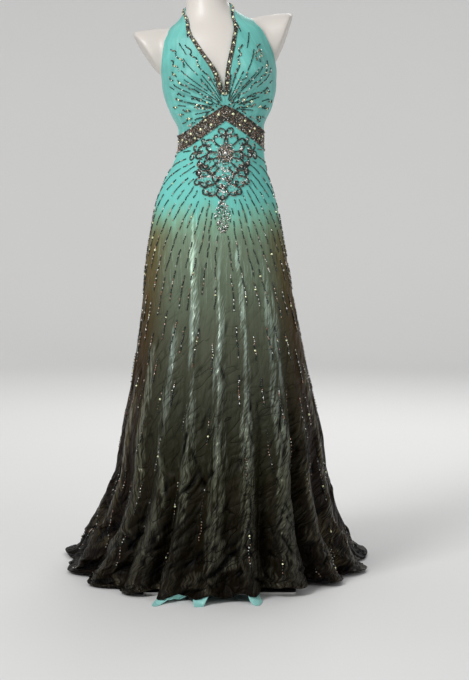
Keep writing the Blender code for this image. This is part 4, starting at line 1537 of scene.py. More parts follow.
@dataclass(frozen=True)
class OmbreOrganza(Finish):
    """Crushed silk dyed from turquoise through sage and olive to dark brown, with satin streaks painted as
    highlights, painted shade in its creases, and darkening towards the hem and at the sides that is partly
    painted shade.
    """

    # Warm tint of the painted highlights on the brown sides.
    tan: Colour = (0.78, 0.64, 0.48)
    streak_gloss: float = 0.15
    streak_metal: float = 0.50

    def dress(self, graph: Graph) -> dict[str, Any]:
        """Dye by the height the cloth hangs at, browner at the sides, lighter where a highlight is painted,
        darker in the creases as painted shade; the darkening towards the hem and at the sides is partly
        painted shade.

        Args:
            graph: The material's nodes.

        Returns:
            Sockets for the shader's inputs.
        """
        cloth = graph.cloth()
        crumple = Effects.place("crumple", graph, Cloth=cloth, Size=1.0)
        weave = Effects.place("weave", graph, Cloth=cloth)
        dye, flecks = self.dye(graph, cloth), self.flecks(graph, cloth)
        high = graph.times(graph.spread(dye, 0.045, 0.085), graph.spread(dye, 0.32, 0.16))
        # Painted highlight wisps along the pleats high on the skirt.
        painted_wisps = graph.times(graph.spread(crumple["Pleats"], -0.055, 0.0), graph.spread(flecks, 0.46, 0.56))
        # Painted highlight streaks along the fold crests, which also make the cloth glossier.
        lit = graph.times(graph.mask("satin"), graph.spread(flecks, 0.40, 0.62, 0.12, 1.35))
        painted_and_glossy_streak = graph.spread(lit, 0.18, 1.05, kind="SMOOTHSTEP")
        painted_and_glossy_streak = graph.math("MAXIMUM", painted_and_glossy_streak, graph.times(graph.times(high, painted_wisps), 0.55))
        # Brown at the sides, and darker there as painted shade.
        umber = graph.mask("umber")
        plain = graph.mix(umber, graph.ramp(dye, MIDDLE_DYE_AND_SHADE), graph.ramp(dye, SIDE_DYE_AND_SHADE))
        # Colour of the painted highlights, warmer on the brown sides.
        painted_shine = graph.ramp(dye, PAINTED_HIGHLIGHT)
        painted_shine = graph.mix(umber, painted_shine, graph.mix(1.0, painted_shine, self.tan, "MULTIPLY"))
        # Painted shade along the crumple lines and in the deep creases, stronger towards the hem.
        crush = graph.spread(graph.mask("dye"), 0.16, 0.72, 0.05, 1.0)
        lines = graph.times(graph.times(crumple["Lines"], crush), 0.7)
        lines = graph.math("MAXIMUM", lines, graph.mask("furrow"))
        dark = graph.grey(graph.spread(lines, 0.05, 0.80, 1.0, 0.08))
        folds = graph.bump(graph.times(crumple["Height"], crush), 0.0060, 1.0)
        pleats = graph.bump(crumple["Pleats"], 0.0016, 0.7, folds)
        smooth = self.roughness - self.streak_gloss
        return {
            # Dye colour with the painted highlights mixed in and the painted crease shade multiplied in.
            "Base Color": graph.mix(1.0, graph.mix(painted_and_glossy_streak, plain, painted_shine), dark, "MULTIPLY"),
            "Roughness": graph.spread(painted_and_glossy_streak, 0.0, 1.0, self.roughness, smooth),
            "Metallic": graph.times(painted_and_glossy_streak, self.streak_metal),
            "Normal": graph.bump(weave["Height"], 0.00012, 0.4, pleats),
        }

    def dye(self, graph: Graph, cloth: Any) -> Any:
        """How far down the dye has run, uneven where it bled: 0 at the top, 1 at the floor."""
        bleed = graph.noise(graph.cells(cloth, 0.024, 0.20), 1.0, 4.0, 0.8)
        uneven = graph.times(graph.math("SUBTRACT", bleed, 0.5), 0.10)
        return graph.math("ADD", graph.mask("dye"), uneven, clamp=True)

    def flecks(self, graph: Graph, cloth: Any) -> Any:
        """Ragged long noise with feathered edges, which breaks the painted highlight streaks up."""
        ragged = graph.noise(graph.cells(cloth, 0.009, 0.110, 4.0), 1.0, 5.0, 0.6)
        feather = graph.noise(graph.cells(cloth, 0.0032, 0.030, 24.0), 1.0, 2.0)
        return graph.plus(graph.times(ragged, 0.62), graph.times(feather, 0.38))


@dataclass(frozen=True)
class LiningSatin(Toned):
    """Bright turquoise lining satin."""

    colour: Colour = (0.380, 0.800, 0.750)

    def dress(self, graph: Graph) -> dict[str, Any]:
        """Even dye with a fine weave."""
        cloth = graph.cloth()
        weave = Effects.place("weave", graph, Cloth=cloth)
        tone = graph.noise(cloth, 30.0, 2.0)
        return {
            "Base Color": self.toned(graph, graph.spread(tone, 0.3, 0.7), 0.72),
            "Normal": graph.bump(weave["Height"], 0.0001, 0.4),
        }


@dataclass(frozen=True)
class BeadedNet(Finish):
    """The dark net that beads are sewn to."""

    colour: Colour = (0.038, 0.030, 0.021)

    def dress(self, graph: Graph) -> dict[str, Any]:
        """A dark mesh with a painted glint on its raised threads."""
        weave = Effects.place("weave", graph, Cloth=graph.cloth(), Threads=180.0)
        # Raised threads painted lighter as a glint.
        light = tuple(3.2 * part for part in self.colour)
        return {
            "Base Color": graph.mix(weave["Height"], self.colour, light),
            "Normal": graph.bump(weave["Height"], 0.0004, 0.8),
        }


@dataclass(frozen=True)
class GlassBeads(Finish):
    """Dark glass beads of mixed lustre."""

    def dress(self, graph: Graph) -> dict[str, Any]:
        """Lustre by each bead's own tint."""
        glint = Effects.place("glint", graph, Tint=graph.mask("tint"))
        return {"Base Color": glint["Colour"], "Roughness": glint["Gloss"]}


@dataclass(frozen=True)
class CutStones(Finish):
    """Foiled cut stones, each a little different."""

    light: Colour = (0.900, 0.930, 0.560)
    warm: Colour = (0.780, 0.640, 0.330)

    def dress(self, graph: Graph) -> dict[str, Any]:
        """Colour by each stone's own tint."""
        share = graph.spread(graph.mask("tint"), 0.45, 1.0)
        return {"Base Color": graph.mix(share, self.light, self.warm)}


@dataclass(frozen=True)
class MouldedShell(Toned):
    """The form's smooth white lacquer."""

    colour: Colour = (0.700, 0.655, 0.605)

    def dress(self, graph: Graph) -> dict[str, Any]:
        """Faint blotches in tone and gloss."""
        marks = Effects.place("handling", graph, Place=graph.place(), Size=4.0)
        rough = self.roughness
        return {
            "Base Color": self.toned(graph, graph.spread(marks["Blotch"], 0.35, 0.65), 0.94),
            "Roughness": graph.spread(marks["Scuff"], 0.3, 0.8, rough - 0.04, rough + 0.08),
        }


@dataclass(frozen=True)
class SatinSteel(Toned):
    """Brushed steel of the stand."""

    colour: Colour = (0.620, 0.615, 0.600)

    def dress(self, graph: Graph) -> dict[str, Any]:
        """Brush lines, blotches and scuffs."""
        place = graph.place()
        marks = Effects.place("handling", graph, Place=place, Size=6.0)
        brush = graph.noise(graph.cells(place, 0.0011, 0.070), 1.0, 2.0)
        rough = self.roughness
        return {
            "Base Color": self.toned(graph, graph.spread(marks["Blotch"], 0.3, 0.7), 0.80),
            "Roughness": graph.spread(brush, 0.2, 0.8, rough - 0.08, rough + 0.12),
            "Normal": graph.bump(brush, 0.00006, 0.5),
        }


@dataclass(frozen=True)
class PaleFloor(Toned):
    """The studio's pale floor."""

    colour: Colour = (0.800, 0.795, 0.785)

    def dress(self, graph: Graph) -> dict[str, Any]:
        """Almost even, with the faintest cloudiness."""
        return {"Base Color": self.toned(graph, graph.noise(graph.place(), 0.7, 2.0), 0.97)}


BEAD_GLASS = (
    (0.00, (0.006, 0.014, 0.012)), (0.40, (0.012, 0.026, 0.023)), (0.52, (0.040, 0.052, 0.046)),
    (0.61, (0.110, 0.095, 0.060)), (0.67, (0.400, 0.200, 0.130)), (0.73, (0.260, 0.205, 0.115)),
    (0.79, (0.560, 0.360, 0.290)), (0.86, (0.520, 0.540, 0.460)), (1.00, (0.900, 0.890, 0.860)),
)
# Ombré dye of the skirt's middle; its darkening towards the hem is partly painted shade.
MIDDLE_DYE_AND_SHADE = (
    (0.000, (0.175, 0.600, 0.540)), (0.035, (0.175, 0.575, 0.500)), (0.062, (0.215, 0.500, 0.385)),
    (0.090, (0.215, 0.370, 0.255)), (0.130, (0.170, 0.232, 0.156)), (0.200, (0.138, 0.178, 0.120)),
    (0.325, (0.092, 0.106, 0.071)), (0.420, (0.064, 0.070, 0.046)), (0.520, (0.039, 0.041, 0.026)),
    (0.620, (0.022, 0.022, 0.012)), (0.720, (0.014, 0.012, 0.005)), (0.820, (0.009, 0.007, 0.003)),
    (1.000, (0.006, 0.004, 0.0015)),
)
# Dye of the skirt's sides, browner, and darker than the middle partly as painted shade.
SIDE_DYE_AND_SHADE = (
    (0.000, (0.160, 0.560, 0.500)), (0.035, (0.160, 0.500, 0.410)), (0.070, (0.175, 0.300, 0.175)),
    (0.105, (0.160, 0.160, 0.076)), (0.160, (0.122, 0.098, 0.038)), (0.280, (0.074, 0.050, 0.018)),
    (0.460, (0.032, 0.018, 0.006)), (0.660, (0.011, 0.0055, 0.002)), (1.000, (0.004, 0.002, 0.001)),
)
# Colours of the painted highlights, by dye level.
PAINTED_HIGHLIGHT = (
    (0.000, (0.220, 0.680, 0.620)), (0.060, (0.280, 0.580, 0.490)), (0.130, (0.370, 0.520, 0.410)),
    (0.280, (0.340, 0.435, 0.355)), (0.350, (0.310, 0.385, 0.325)), (0.450, (0.240, 0.285, 0.242)),
    (0.540, (0.190, 0.214, 0.172)), (0.640, (0.154, 0.169, 0.128)), (0.720, (0.108, 0.112, 0.078)),
    (0.820, (0.080, 0.080, 0.058)), (1.000, (0.050, 0.046, 0.032)),
)

SILK = TurquoiseSilk("turquoise_silk", roughness=0.46, sheen=0.12)
ORGANZA = OmbreOrganza("ombre_organza", roughness=0.48, specular=0.07)
LINING = LiningSatin("lining_satin", roughness=0.30, sheen=0.1)
NET = BeadedNet("beaded_net", roughness=0.55)
BEADS = GlassBeads("glass_beads", roughness=0.16, metallic=0.55, coat=0.7, specular=0.8)
STONES = CutStones("cut_stones", roughness=0.07, metallic=0.25, coat=1.0, specular=1.0)
SILVER = CutStones(
    "silver_stones", roughness=0.08, metallic=0.7, coat=1.0, specular=1.0,
    light=(0.88, 0.88, 0.86), warm=(0.80, 0.62, 0.56),
)
SHELL = MouldedShell("form_lacquer", roughness=0.42, coat=0.06)
STEEL = SatinSteel("satin_steel", roughness=0.34, metallic=1.0)
FLOOR = PaleFloor("pale_floor", roughness=0.70)


# ---- tables of creases and beading

FRONT_CREASES = table(
    Crease,
    (-26, 0.075, 0.16, 31, 0.0085, -0.0065, 1.5), (-31, 0.15, 0.13, 26, 0.0075, -0.0045, -1),
    (-20, 0.185, 0.12, 34, 0.007, -0.004, 1), (-13, 0.095, 0.11, 46, 0.008, -0.0055, 2),
    (-9, 0.175, 0.1, 52, 0.007, -0.0042, -1), (-3, 0.07, 0.14, 58, 0.0085, -0.006, 1),
    (4, 0.105, 0.15, 42, 0.0085, -0.007, -1.5), (9, 0.17, 0.11, 36, 0.007, -0.004, 1),
    (1, 0.235, 0.12, 30, 0.0065, -0.0032, 1), (-17, 0.285, 0.15, 24, 0.007, -0.0036, -1),
    (-24, 0.35, 0.15, 18, 0.0065, -0.003, 1), (7, 0.33, 0.13, 21, 0.007, -0.0034, 0.5),
    (13, 0.41, 0.14, -14, 0.0065, -0.003, 1), (-8, 0.4, 0.12, 27, 0.006, -0.0026, -0.5),
    (31, 0.12, 0.13, -28, 0.0075, -0.0046, 1), (34, 0.21, 0.12, -22, 0.007, -0.004, -1),
    (28, 0.29, 0.13, -18, 0.0065, -0.0032, 1), (36, 0.045, 0.1, -48, 0.0075, -0.0042, 1),
    (-48, 0.06, 0.12, 38, 0.011, 0.0115, 2), (-56, 0.095, 0.13, 22, 0.011, 0.0125, -2),
    (-64, 0.05, 0.12, 48, 0.012, 0.013, 1), (-52, 0.02, 0.14, 66, 0.012, 0.012, 2),
    (-70, 0.11, 0.12, 12, 0.011, 0.011, -1), (-60, 0.165, 0.12, -16, 0.01, -0.006, 1),
    (-44, 0.13, 0.12, 14, 0.0095, -0.006, -1), (62, 0.06, 0.12, -40, 0.011, 0.0075, 1),
    (70, 0.11, 0.13, -18, 0.011, 0.0075, -1), (56, 0.13, 0.12, -26, 0.0095, -0.006, 1),
)

SIDES = (("left", 1), ("right", -1))

FINE = Strand(0.0050, 0.0046, 0.0026, 7, 0.08)
THICK = Strand(0.0046, 0.0041, 0.0034, 2, 0.24)
BROKEN = Strand(0.0052, 0.0046, 0.0028, 4, 0.14)
MIXED = Strand(0.0052, 0.0043, 0.0032, 3, 0.26)
SPACED = Strand(0.0078, 0.0036, 0.0028, 2, 0.30)
OUTLINE = Strand(0.0036, 0.0036, 0.0034, 6, 0.0)
CORE = Strand(0.0036, 0.0030, 0.0022, 2, 0.58)
RING = Strand(0.0030, 0.0026, 0.0026, 2, 0.40)


class Ray(NamedTuple):
    """A beaded ray over a cup: bearing from upright, start and end, swing, waves and its stone."""

    bearing: float
    start: float
    end: float
    swing: float = 0.0
    waves: float = 0.0
    stone: float = 0.0


CUP_RAYS = table(
    Ray,
    (22, 0.024, 0.094), (29, 0.023, 0.098), (24, 0.078, 0.174, 0.004, 2.8, 0.42),
    (33, 0.104, 0.162), (35.5, 0.046, 0.098, 0.0022, 2), (40, 0.022, 0.052), (42, 0.064, 0.132),
    (47.5, 0.024, 0.128), (54, 0.042, 0.137, 0.0026, 3.2, 0.93), (61, 0.026, 0.062),
    (61, 0.096, 0.15), (69, 0.036, 0.104, 0.003, 2.4, 0.28), (69, 0.114, 0.142, 0.0026, 1.4),
    (77.5, 0.038, 0.112), (85, 0.032, 0.094, 0.0028, 2.6, 0.55), (89, 0.106, 0.136, 0.0028, 1.3, 0.25),
    (94.5, 0.045, 0.092), (102, 0.058, 0.106, 0.0016, 1.4, 0.22), (109, 0.078, 0.118, 0.0018, 1.6, 0.5),
    (28.5, 0.16, 0.2), (36, 0.138, 0.198, 0.0046, 2, 0.38), (43.5, 0.142, 0.182, 0.0046, 1.6, 0.52),
    (51, 0.142, 0.168, 0.0038, 1.2, 0.4), (58.5, 0.154, 0.176, 0.0034, 1.1),
    (76, 0.124, 0.152, 0.0028, 1.4, 0.5), (98, 0.112, 0.14, 0.0026, 1.2, 0.45), (82.5, 0.118, 0.15),
    (104.5, 0.11, 0.142, 0.0026, 1.3), (113, 0.098, 0.134, 0, 0, 0.3), (17, 0.036, 0.082),
    (50, 0.012, 0.03, 0.0024, 0.8), (73, 0.016, 0.03, 0.002, 0.8),
    (80.5, 0.052, 0.086, 0.0024, 1.6, 0.85), (91, 0.02, 0.042), (98, 0.03, 0.062, 0.002, 1.8, 0.6),
    (104.5, 0.036, 0.056, 0.0018, 1), (107, 0.066, 0.082, 0.002, 0.9, 0.4), (113.5, 0.06, 0.09),
    (117, 0.1, 0.126, 0.0024, 1.4, 0.7), (65, 0.066, 0.092), (92, 0.138, 0.164, 0.0026, 1.4, 0.5),
    (85, 0.156, 0.178, 0.0026, 1.2, 0.3), (66.5, 0.15, 0.172), (99.5, 0.146, 0.168), (20, 0.196, 0.224),
    (108, 0.148, 0.166, 0.0024, 1.1, 0.4),
)


class Breaks(NamedTuple):
    """How rays are broken into dashes up to a distance, and how often a dash has a stone."""

    until: float
    shortest: float
    longest: float
    gap: float
    strand: Strand
    stones: float


RAY_BREAKS = (
    Breaks(0.27, 0.014, 0.090, 0.009, BROKEN, 0.10),
    Breaks(0.60, 0.055, 0.100, 0.050, MIXED, 0.30),
    Breaks(1.40, 0.060, 0.130, 0.100, SPACED, 0.30),
)
FRONT_FAN = (3.5, 8.5, 13.5, 19.0, 25.0, 31.0, 37.5, 44.5, 52.0, 60.0, 68.5, 77.5, 88.0)
SIDE_RAYS = (90.0, 104.0, 118.0, 132.0, 146.0, 160.0, 173.0)


class Scroll(NamedTuple):
    """A scroll: its start from the medallion's centre, heading, length, turn and curl in degrees."""

    x: float
    z: float
    heading: float
    length: float
    sweep: float
    curl: float


MEDALLION = table(
    Scroll,
    (0.006, 0.024, -8, 0.058, -30, 300), (0.017, 0.016, 50, 0.064, -20, 330),
    (0.04, 0.018, 82, 0.06, 0, 320), (0.064, 0.004, 88, 0.056, 0, 330),
    (0.022, 0.002, 84, 0.054, 20, -330), (0.046, -0.004, 112, 0.054, 20, -330),
    (0.018, -0.012, 100, 0.064, -10, 340), (0.014, -0.022, 130, 0.072, 30, -340),
    (0.04, -0.03, 110, 0.05, 0, 330), (0.01, -0.034, 150, 0.06, -20, 340),
    (0.034, -0.056, 100, 0.052, 0, 330), (0.005, -0.056, 150, 0.058, 20, -340),
    (0.02, -0.076, 120, 0.05, 0, 330), (0.004, -0.086, 150, 0.048, 20, -340),
)

CLUSTERS = (
    (0.0, 0.046, 0.007, 8), (0.0, -0.040, 0.010, 16), (0.050, -0.060, 0.008, 8),
    (0.0, -0.064, 0.013, 26), (0.0, -0.094, 0.010, 16), (0.040, 0.010, 0.006, 5),
    (0.022, -0.056, 0.009, 12), (0.070, -0.004, 0.006, 4),
)
LOOSE_BEADS = (
    (160, 0.092, 0.026, 0.0, 0.30), (430, 0.052, 0.058, -0.050, 0.62), (300, 0.020, 0.024, 0.0, 0.50),
)


# ---- the gown


@dataclass
class Bodice:
    """Two halter fronts with rolled arm edges, and the tab that closes the straps at the nape."""

    cut: HalterCut
    thick: float = 0.0016
    columns: int = 82
    lower_rows: int = 130
    strap_from: int = 5
    strap_rows: int = 56
    edge_steps: int = 260
    edge_at: float = 0.9965
    rolled_edge: float = 0.0013
    seam_angle: float = 0.012
    tab_top: float = 1.46088
    tab_low: float = 1.44954
    tab_half_angle: float = 11.0
    tab_thick: float = 0.0022

    def build(self) -> None:
        """Makes both fronts with their edges, and the nape's fastening."""
        for name, side in SIDES:
            self.front(name, side)
        self.nape()

    def ground(self) -> Ground:
        """The fronts' surface by ring angle and height, gathers included."""
        return Ground(self.cut.base, self.cut.gather)

    def front(self, name: str, side: int) -> None:
        """One front with the roll along its arm edge.

        Args:
            name: Which side of the wearer.
            side: 1 for the wearer's left, -1 for the right.
        """
        last, start = len(HALTER) - 1, self.strap_from
        strap = np.linspace(start, last - 0.004, self.strap_rows)
        rows = np.concatenate([np.linspace(0, start, self.lower_rows), strap[1:]])
        across, row = np.meshgrid(np.linspace(0, 1, self.columns), rows)
        angle, height = self.cut.place(across, row)
        angle = np.maximum(angle, np.where(row <= 1, self.seam_angle, 0.0))
        net = self.ground().net(side * angle, height)
        mesh = net.shell(f"bodice_{name}_silk", self.thick, coarse=3)
        piece = add_piece(mesh, SILK, replaces=[f"bodice_{name}"])
        edge = np.linspace(0.02, last - 0.02, self.edge_steps)
        angle, height = self.cut.place(np.full(self.edge_steps, self.edge_at), edge)
        path = self.ground().points(side * angle, height, SEAM_GAP)
        roll = add_piece(piping(f"arm_edge_{name}", path, self.rolled_edge), SILK)
        net.area()

    def nape(self) -> None:
        """The tab over the ends of the straps."""
        turn = np.linspace(-self.tab_half_angle, self.tab_half_angle, 23)
        u, v = np.meshgrid(180.0 + turn, np.linspace(self.tab_top, self.tab_low, 9))
        net = Ground(self.cut.base).net(u, v)
        offset = (self.thick + self.tab_thick) / 2 + SEAM_GAP
        mesh = net.shell("nape_fastening_silk", self.tab_thick, offset)
        add_piece(mesh, SILK, replaces=["nape_fastening"])


@dataclass
class NecklineTrim:
    """The beaded edging of the V, laid on the bodice along its neck edge."""

    cut: HalterCut
    width: float = 0.0086
    base: float = 0.0008
    bead_pitch: float = 0.0030
    lanes: tuple[float, ...] = (0.18, 0.50, 0.82)
    stone_pitch: float = 0.0255
    stone: float = 0.0062
    steps: int = 240
    starts_at: float = 0.98
    least_angle: float = 0.16

    def build(self) -> None:
        """Makes the edging of both sides."""
        for name, side in SIDES:
            self.edging(name, side)

    def edging(self, name: str, side: int) -> None:
        """A strip of net along one neck edge, covered in beads.

        Args:
            name: Which side of the wearer.
            side: 1 for the wearer's left, -1 for the right.
        """
        cut, steps = self.cut, self.steps
        rows = np.linspace(self.starts_at, len(HALTER) - 1.03, steps)
        ends = [cut.figure.surface(*cut.place(np.full(steps, share), rows)) for share in (0.0, 1.0)]
        panel = np.linalg.norm(ends[1] - ends[0], axis=1)
        strip = self.width * (0.35 + 0.65 * ease((rows - self.starts_at) / 0.35))

        def place(share: Array, row: Array) -> tuple[Array, Array]:
            """Angle and height at a share of the strip's width."""
            across = (SEAM_GAP + share * np.interp(row, rows, strip)) / np.interp(row, rows, panel)
            angle, height = cut.place(across, row)
            return side * np.maximum(angle, self.least_angle), height

        share, row = np.meshgrid(np.linspace(0, 1, 7), rows)
        ground = Ground(cut.base, cut.gather)
        net = ground.net(*place(share, row))
        face = 0.0008 + SEAM_GAP
        mesh = net.shell(f"neckline_trim_{name}_net", self.base, face + self.base / 2)
        piece = add_piece(mesh, NET, replaces=[f"neckline_trim_{name}"])
        needle = Needle(ground, face + self.base)
        far = run_of(ground.points(*place(np.full(steps, 0.5), rows)))
        dice = np.random.default_rng(40 + side)
        lanes = np.array(self.lanes)
        along, shares = lanes_of(dice, far[-1], self.bead_pitch, lanes, 0.35, 0.05)
        needle.scatter(*place(shares, np.interp(along, far, rows)), 0.5, 0.45, 50 + side)
        for at in np.arange(0.006, far[-1] - 0.01, self.stone_pitch):
            needle.stone(*place(np.array([0.5]), np.array([np.interp(at, far, rows)])), self.stone)
        beads = needle.finish(f"neck_beading_{name}", BEADS, STONES, 60 + side)
        net.area()


@dataclass
class Waistband:
    """The inverted-V band, its net covered in beads and set with pale stones."""

    figure: Figure
    cut: BandCut
    thick: float = 0.0016
    pitch: float = 0.0033
    lanes: int = 11
    seam: float = 0.08
    side_seam: float = 75.0
    stone: float = 0.0064
    front_stones: tuple[tuple[float, float], ...] = (
        (-8.0, 0.66), (-19.0, 0.40), (-25.0, 0.86), (-34.0, 0.56), (-43.0, 0.24), (-50.0, 0.66),
        (-59.0, 0.36), (-69.0, 0.62), (9.0, 0.68), (19.0, 0.30), (26.0, 0.74), (35.0, 0.36),
        (44.0, 0.70), (54.0, 0.34), (65.0, 0.60),
    )

    def build(self) -> None:
        """Makes the front and both backs."""
        side = self.side_seam
        self.span("front", -side, side, 181, 70)
        self.span("back_left", side, 180.0, 127, 71)
        self.span("back_right", -180.0, -side, 127, 72)

    def at(self, angle: Array, share: Array) -> tuple[Array, Array]:
        """Ring angle and height at a share of the band's width."""
        low, top = self.cut.low(angle), self.cut.top(angle)
        return angle, low + (top - low) * share

    def span(self, name: str, first: float, last: float, columns: int, seed: int) -> None:
        """One length of the band between two seams.

        Args:
            name: Which length.
            first: Ring angle where it starts.
            last: Ring angle where it ends.
            columns: Points along it.
            seed: Seed of its beads.
        """
        ground = Ground(self.figure.surface)
        line = np.linspace(first + self.seam, last - self.seam, columns)
        net = ground.net(*self.at(*np.meshgrid(line, np.linspace(0, 1, 15))))
        mesh = net.shell(f"waistband_{name}_net", self.thick)
        piece = add_piece(mesh, NET, replaces=[f"waistband_{name}"])
        needle = Needle(ground, self.thick / 2)
        dice = np.random.default_rng(seed)
        line = np.linspace(first + 0.6, last - 0.6, 400)
        far = run_of(ground.points(*self.at(line, 0.5)))
        lanes = np.linspace(0.05, 0.95, self.lanes)
        along, shares = lanes_of(dice, far[-1], self.pitch, lanes, 0.4, 0.035)
        needle.scatter(*self.at(np.interp(along, far, line), shares), 0.5, 0.50, seed)
        for share in (0.025, 0.975):
            needle.line(*self.at(line, share), THICK)
        behind = enumerate(np.arange(first + 8, last - 4, 12.0))
        plain = [(angle, 0.35 + 0.3 * (i % 2)) for i, angle in behind]
        for angle, share in self.front_stones if name == "front" else plain:
            needle.stone(*self.at(np.float64(angle), share), self.stone)
        beads = needle.finish(f"band_beading_{name}", BEADS, STONES, seed + 10)
        net.area()


@dataclass
class Skirt:
    """The front panel and the two back panels that carry the train, with their rolled hem."""

    cut: SkirtCut
    thick: float = 0.0020
    upper_rows: int = 262
    lower_rows: int = 37
    front_columns: int = 300
    back_columns: int = 230
    side_seam: float = 75.0
    seam: float = 0.05
    hem_roll: float = 0.0015
    # Where the sides turn brown and are painted darker as shade, and how much of it reaches the front hem.
    umber_from: float = 34.0
    umber_spread: float = 34.0
    umber_top: float = 0.97
    umber_hem: float = 0.35

    def build(self) -> None:
        """Makes the three panels."""
        side = self.side_seam
        self.panel("front", -side, side, self.front_columns)
        self.panel("back_left", side, 180.0, self.back_columns)
        self.panel("back_right", -180.0, -side, self.back_columns)

    def ground(self) -> Ground:
        """The skirt's surface by ring angle and hang, creases included."""
        return Ground(self.cut.base, self.cut.relief.read)

    def needle(self) -> Needle:
        """A needle that sews to the skirt's face."""
        return Needle(self.ground(), self.thick / 2)

    def masks(self, angle: Array, hang: Array) -> dict[str, Array]:
        """How the dye runs, where it turns brown and is painted darker as shade, where a highlight is
        painted, and the painted shade in the creases.

        Args:
            angle: Ring angle in degrees.
            hang: Height where the cloth would hang.

        Returns:
            The masks by name.
        """
        side = ease((np.abs(wrapped(angle + 4.0)) - self.umber_from) / self.umber_spread)
        low = ease((self.umber_top - hang) / 0.10)
        hem = self.umber_hem * ease((0.14 - hang) / 0.16)
        return {
            # Its colours darken towards the hem, partly as painted shade.
            "dye": np.clip(1.0 - hang, 0, 1),
            "umber": np.clip(side * low + hem, 0, 1),
            "satin": self.cut.satin(angle, hang),
            "furrow": self.cut.furrow.read(angle, hang),
        }

    def panel(self, name: str, first: float, last: float, columns: int) -> None:
        """One panel between two seams.

        Args:
            name: Which panel.
            first: Ring angle where it starts.
            last: Ring angle where it ends.
            columns: Points across it.
        """
        lower = 1 + np.linspace(0, 1, self.lower_rows)[1:]
        levels = np.concatenate([np.linspace(0, 1, self.upper_rows), lower])
        line = np.linspace(first + self.seam, last - self.seam, columns)
        angle, level = np.meshgrid(line, levels)
        hang = self.cut.hang(angle, level)
        net = self.ground().net(angle, hang, **self.masks(angle, hang))
        mesh = net.shell(f"skirt_{name}_organza", self.thick, coarse=4)
        piece = add_piece(mesh, ORGANZA, replaces=[f"skirt_{name}"])
        low = self.cut.hang(line, np.full(columns, 2.0))
        path = self.ground().points(line, low)
        path[:, 2] = np.maximum(path[:, 2], self.hem_roll + FLOOR_CLEAR)
        hem = piping(f"hem_{name}", path, self.hem_roll, **self.masks(line, low))
        roll = add_piece(hem, ORGANZA)
        wide, tall = (float(run.max()) for run in net.runs())
        log.info("skirt_%s cut: %.2f wide, %.2f long, %.2f square metres", name, wide, tall, net.area())
        net.area()


@dataclass
class SkirtBeading:
    """Broken rays that fan out under the medallion, bend downwards and run on to the hem."""

    skirt: Skirt
    centre: float = 1.100
    bend_start: float = 0.08
    bend_length: float = 0.36
    reach: float = 1.25
    back_start: float = 0.945
    last_bearing: float = 10.0
    dash_steps: int = 40
    sway: float = 0.30
    stone: float = 0.0056
    wings: tuple[float, float, float] = (0.102, 0.034, 1.090)
    body: tuple[float, float, float] = (0.066, 0.080, 1.046)
    tail: tuple[float, float] = (0.017, 0.885)

    def clear(self, u: Array, v: Array) -> Array:
        """Whether a place lies below the band and outside the medallion and its tail.

        Args:
            u: Ring angle in degrees.
            v: Hang.

        Returns:
            True where it does.
        """
        cut = self.skirt.cut
        across = np.radians(u) * Medallion.radius
        clear = (v < cut.band.low(u) - 0.006) & (v > 0.012 - cut.run(wrapped(u)))
        for wide, tall, middle in (self.wings, self.body):
            clear = clear & ((across / wide) ** 2 + ((v - middle) / tall) ** 2 >= 1.0)
        return clear & ~((np.abs(across) < self.tail[0]) & (v > self.tail[1]))

    def front_ray(self, bearing: float) -> tuple[Array, Array]:
        """A ray walked out from the fan's centre, as ring angles and hangs.

        Args:
            bearing: Its bearing from straight down where it starts, in degrees.

        Returns:
            Ring angle and hang at each step.
        """
        far = np.linspace(0, self.reach, 320)
        side = math.copysign(1.0, bearing)
        last = min(abs(bearing), self.last_bearing + 0.20 * abs(bearing))
        turned = ease((far - self.bend_start) / self.bend_length)
        heading = np.radians(abs(bearing) + (last - abs(bearing)) * turned)
        hang = self.centre - np.cumsum(np.cos(heading)) * far[1]
        around = self.skirt.cut.figure.half_width(np.maximum(hang, 0))
        return side * np.degrees(np.cumsum(np.sin(heading)) * far[1] / around), hang

    def rays(self) -> list[tuple[Array, Array, Array]]:
        """All rays of front, sides and back: how far out each step is, its ring angle and its hang."""
        out = np.linspace(0, self.reach, 320)
        down = np.linspace(self.back_start, self.centre - self.reach, 300)
        fan = [(out, *self.front_ray(side * ray)) for ray in FRONT_FAN for side in (-1, 1)]
        return fan + [
            (self.centre - down, np.full(300, side * angle), down)
            for angle in SIDE_RAYS for side in (-1, 1)
        ]

    def build(self) -> None:
        """Sews all rays, dash by dash, and joins them."""
        needle = self.skirt.needle()
        dice = np.random.default_rng(5)
        dash = np.linspace(0, 1, self.dash_steps)
        for far, angle, hang in self.rays():
            start = float(far[0]) + dice.uniform(0.0, 0.05)
            while start < self.reach - 0.05:
                rule = next(row for row in RAY_BREAKS if start < row.until)
                length = dice.uniform(rule.shortest, rule.longest)
                at = np.linspace(start, start + length, self.dash_steps)
                drift = dice.uniform(-1.0, 1.0) + dice.uniform(-0.8, 0.8) * dash
                drift = drift * min(1.0, 0.35 + start / 0.5)
                wave = np.linspace(0, dice.uniform(4, 14), self.dash_steps)
                drift = drift + self.sway * np.sin(wave + dice.uniform(0, 6))
                u, v = np.interp(at, far, angle) + drift, np.interp(at, far, hang)
                needle.line(u, v, rule.strand, self.clear)
                if dice.random() < rule.stones:
                    k = int(dice.uniform(8, 32))
                    if self.clear(u[k], v[k]):
                        needle.stone(u[k], v[k], self.stone)
                start += length + rule.gap * dice.uniform(0.4, 2.0)
        needle.finish("skirt_rays", BEADS, STONES, 90)


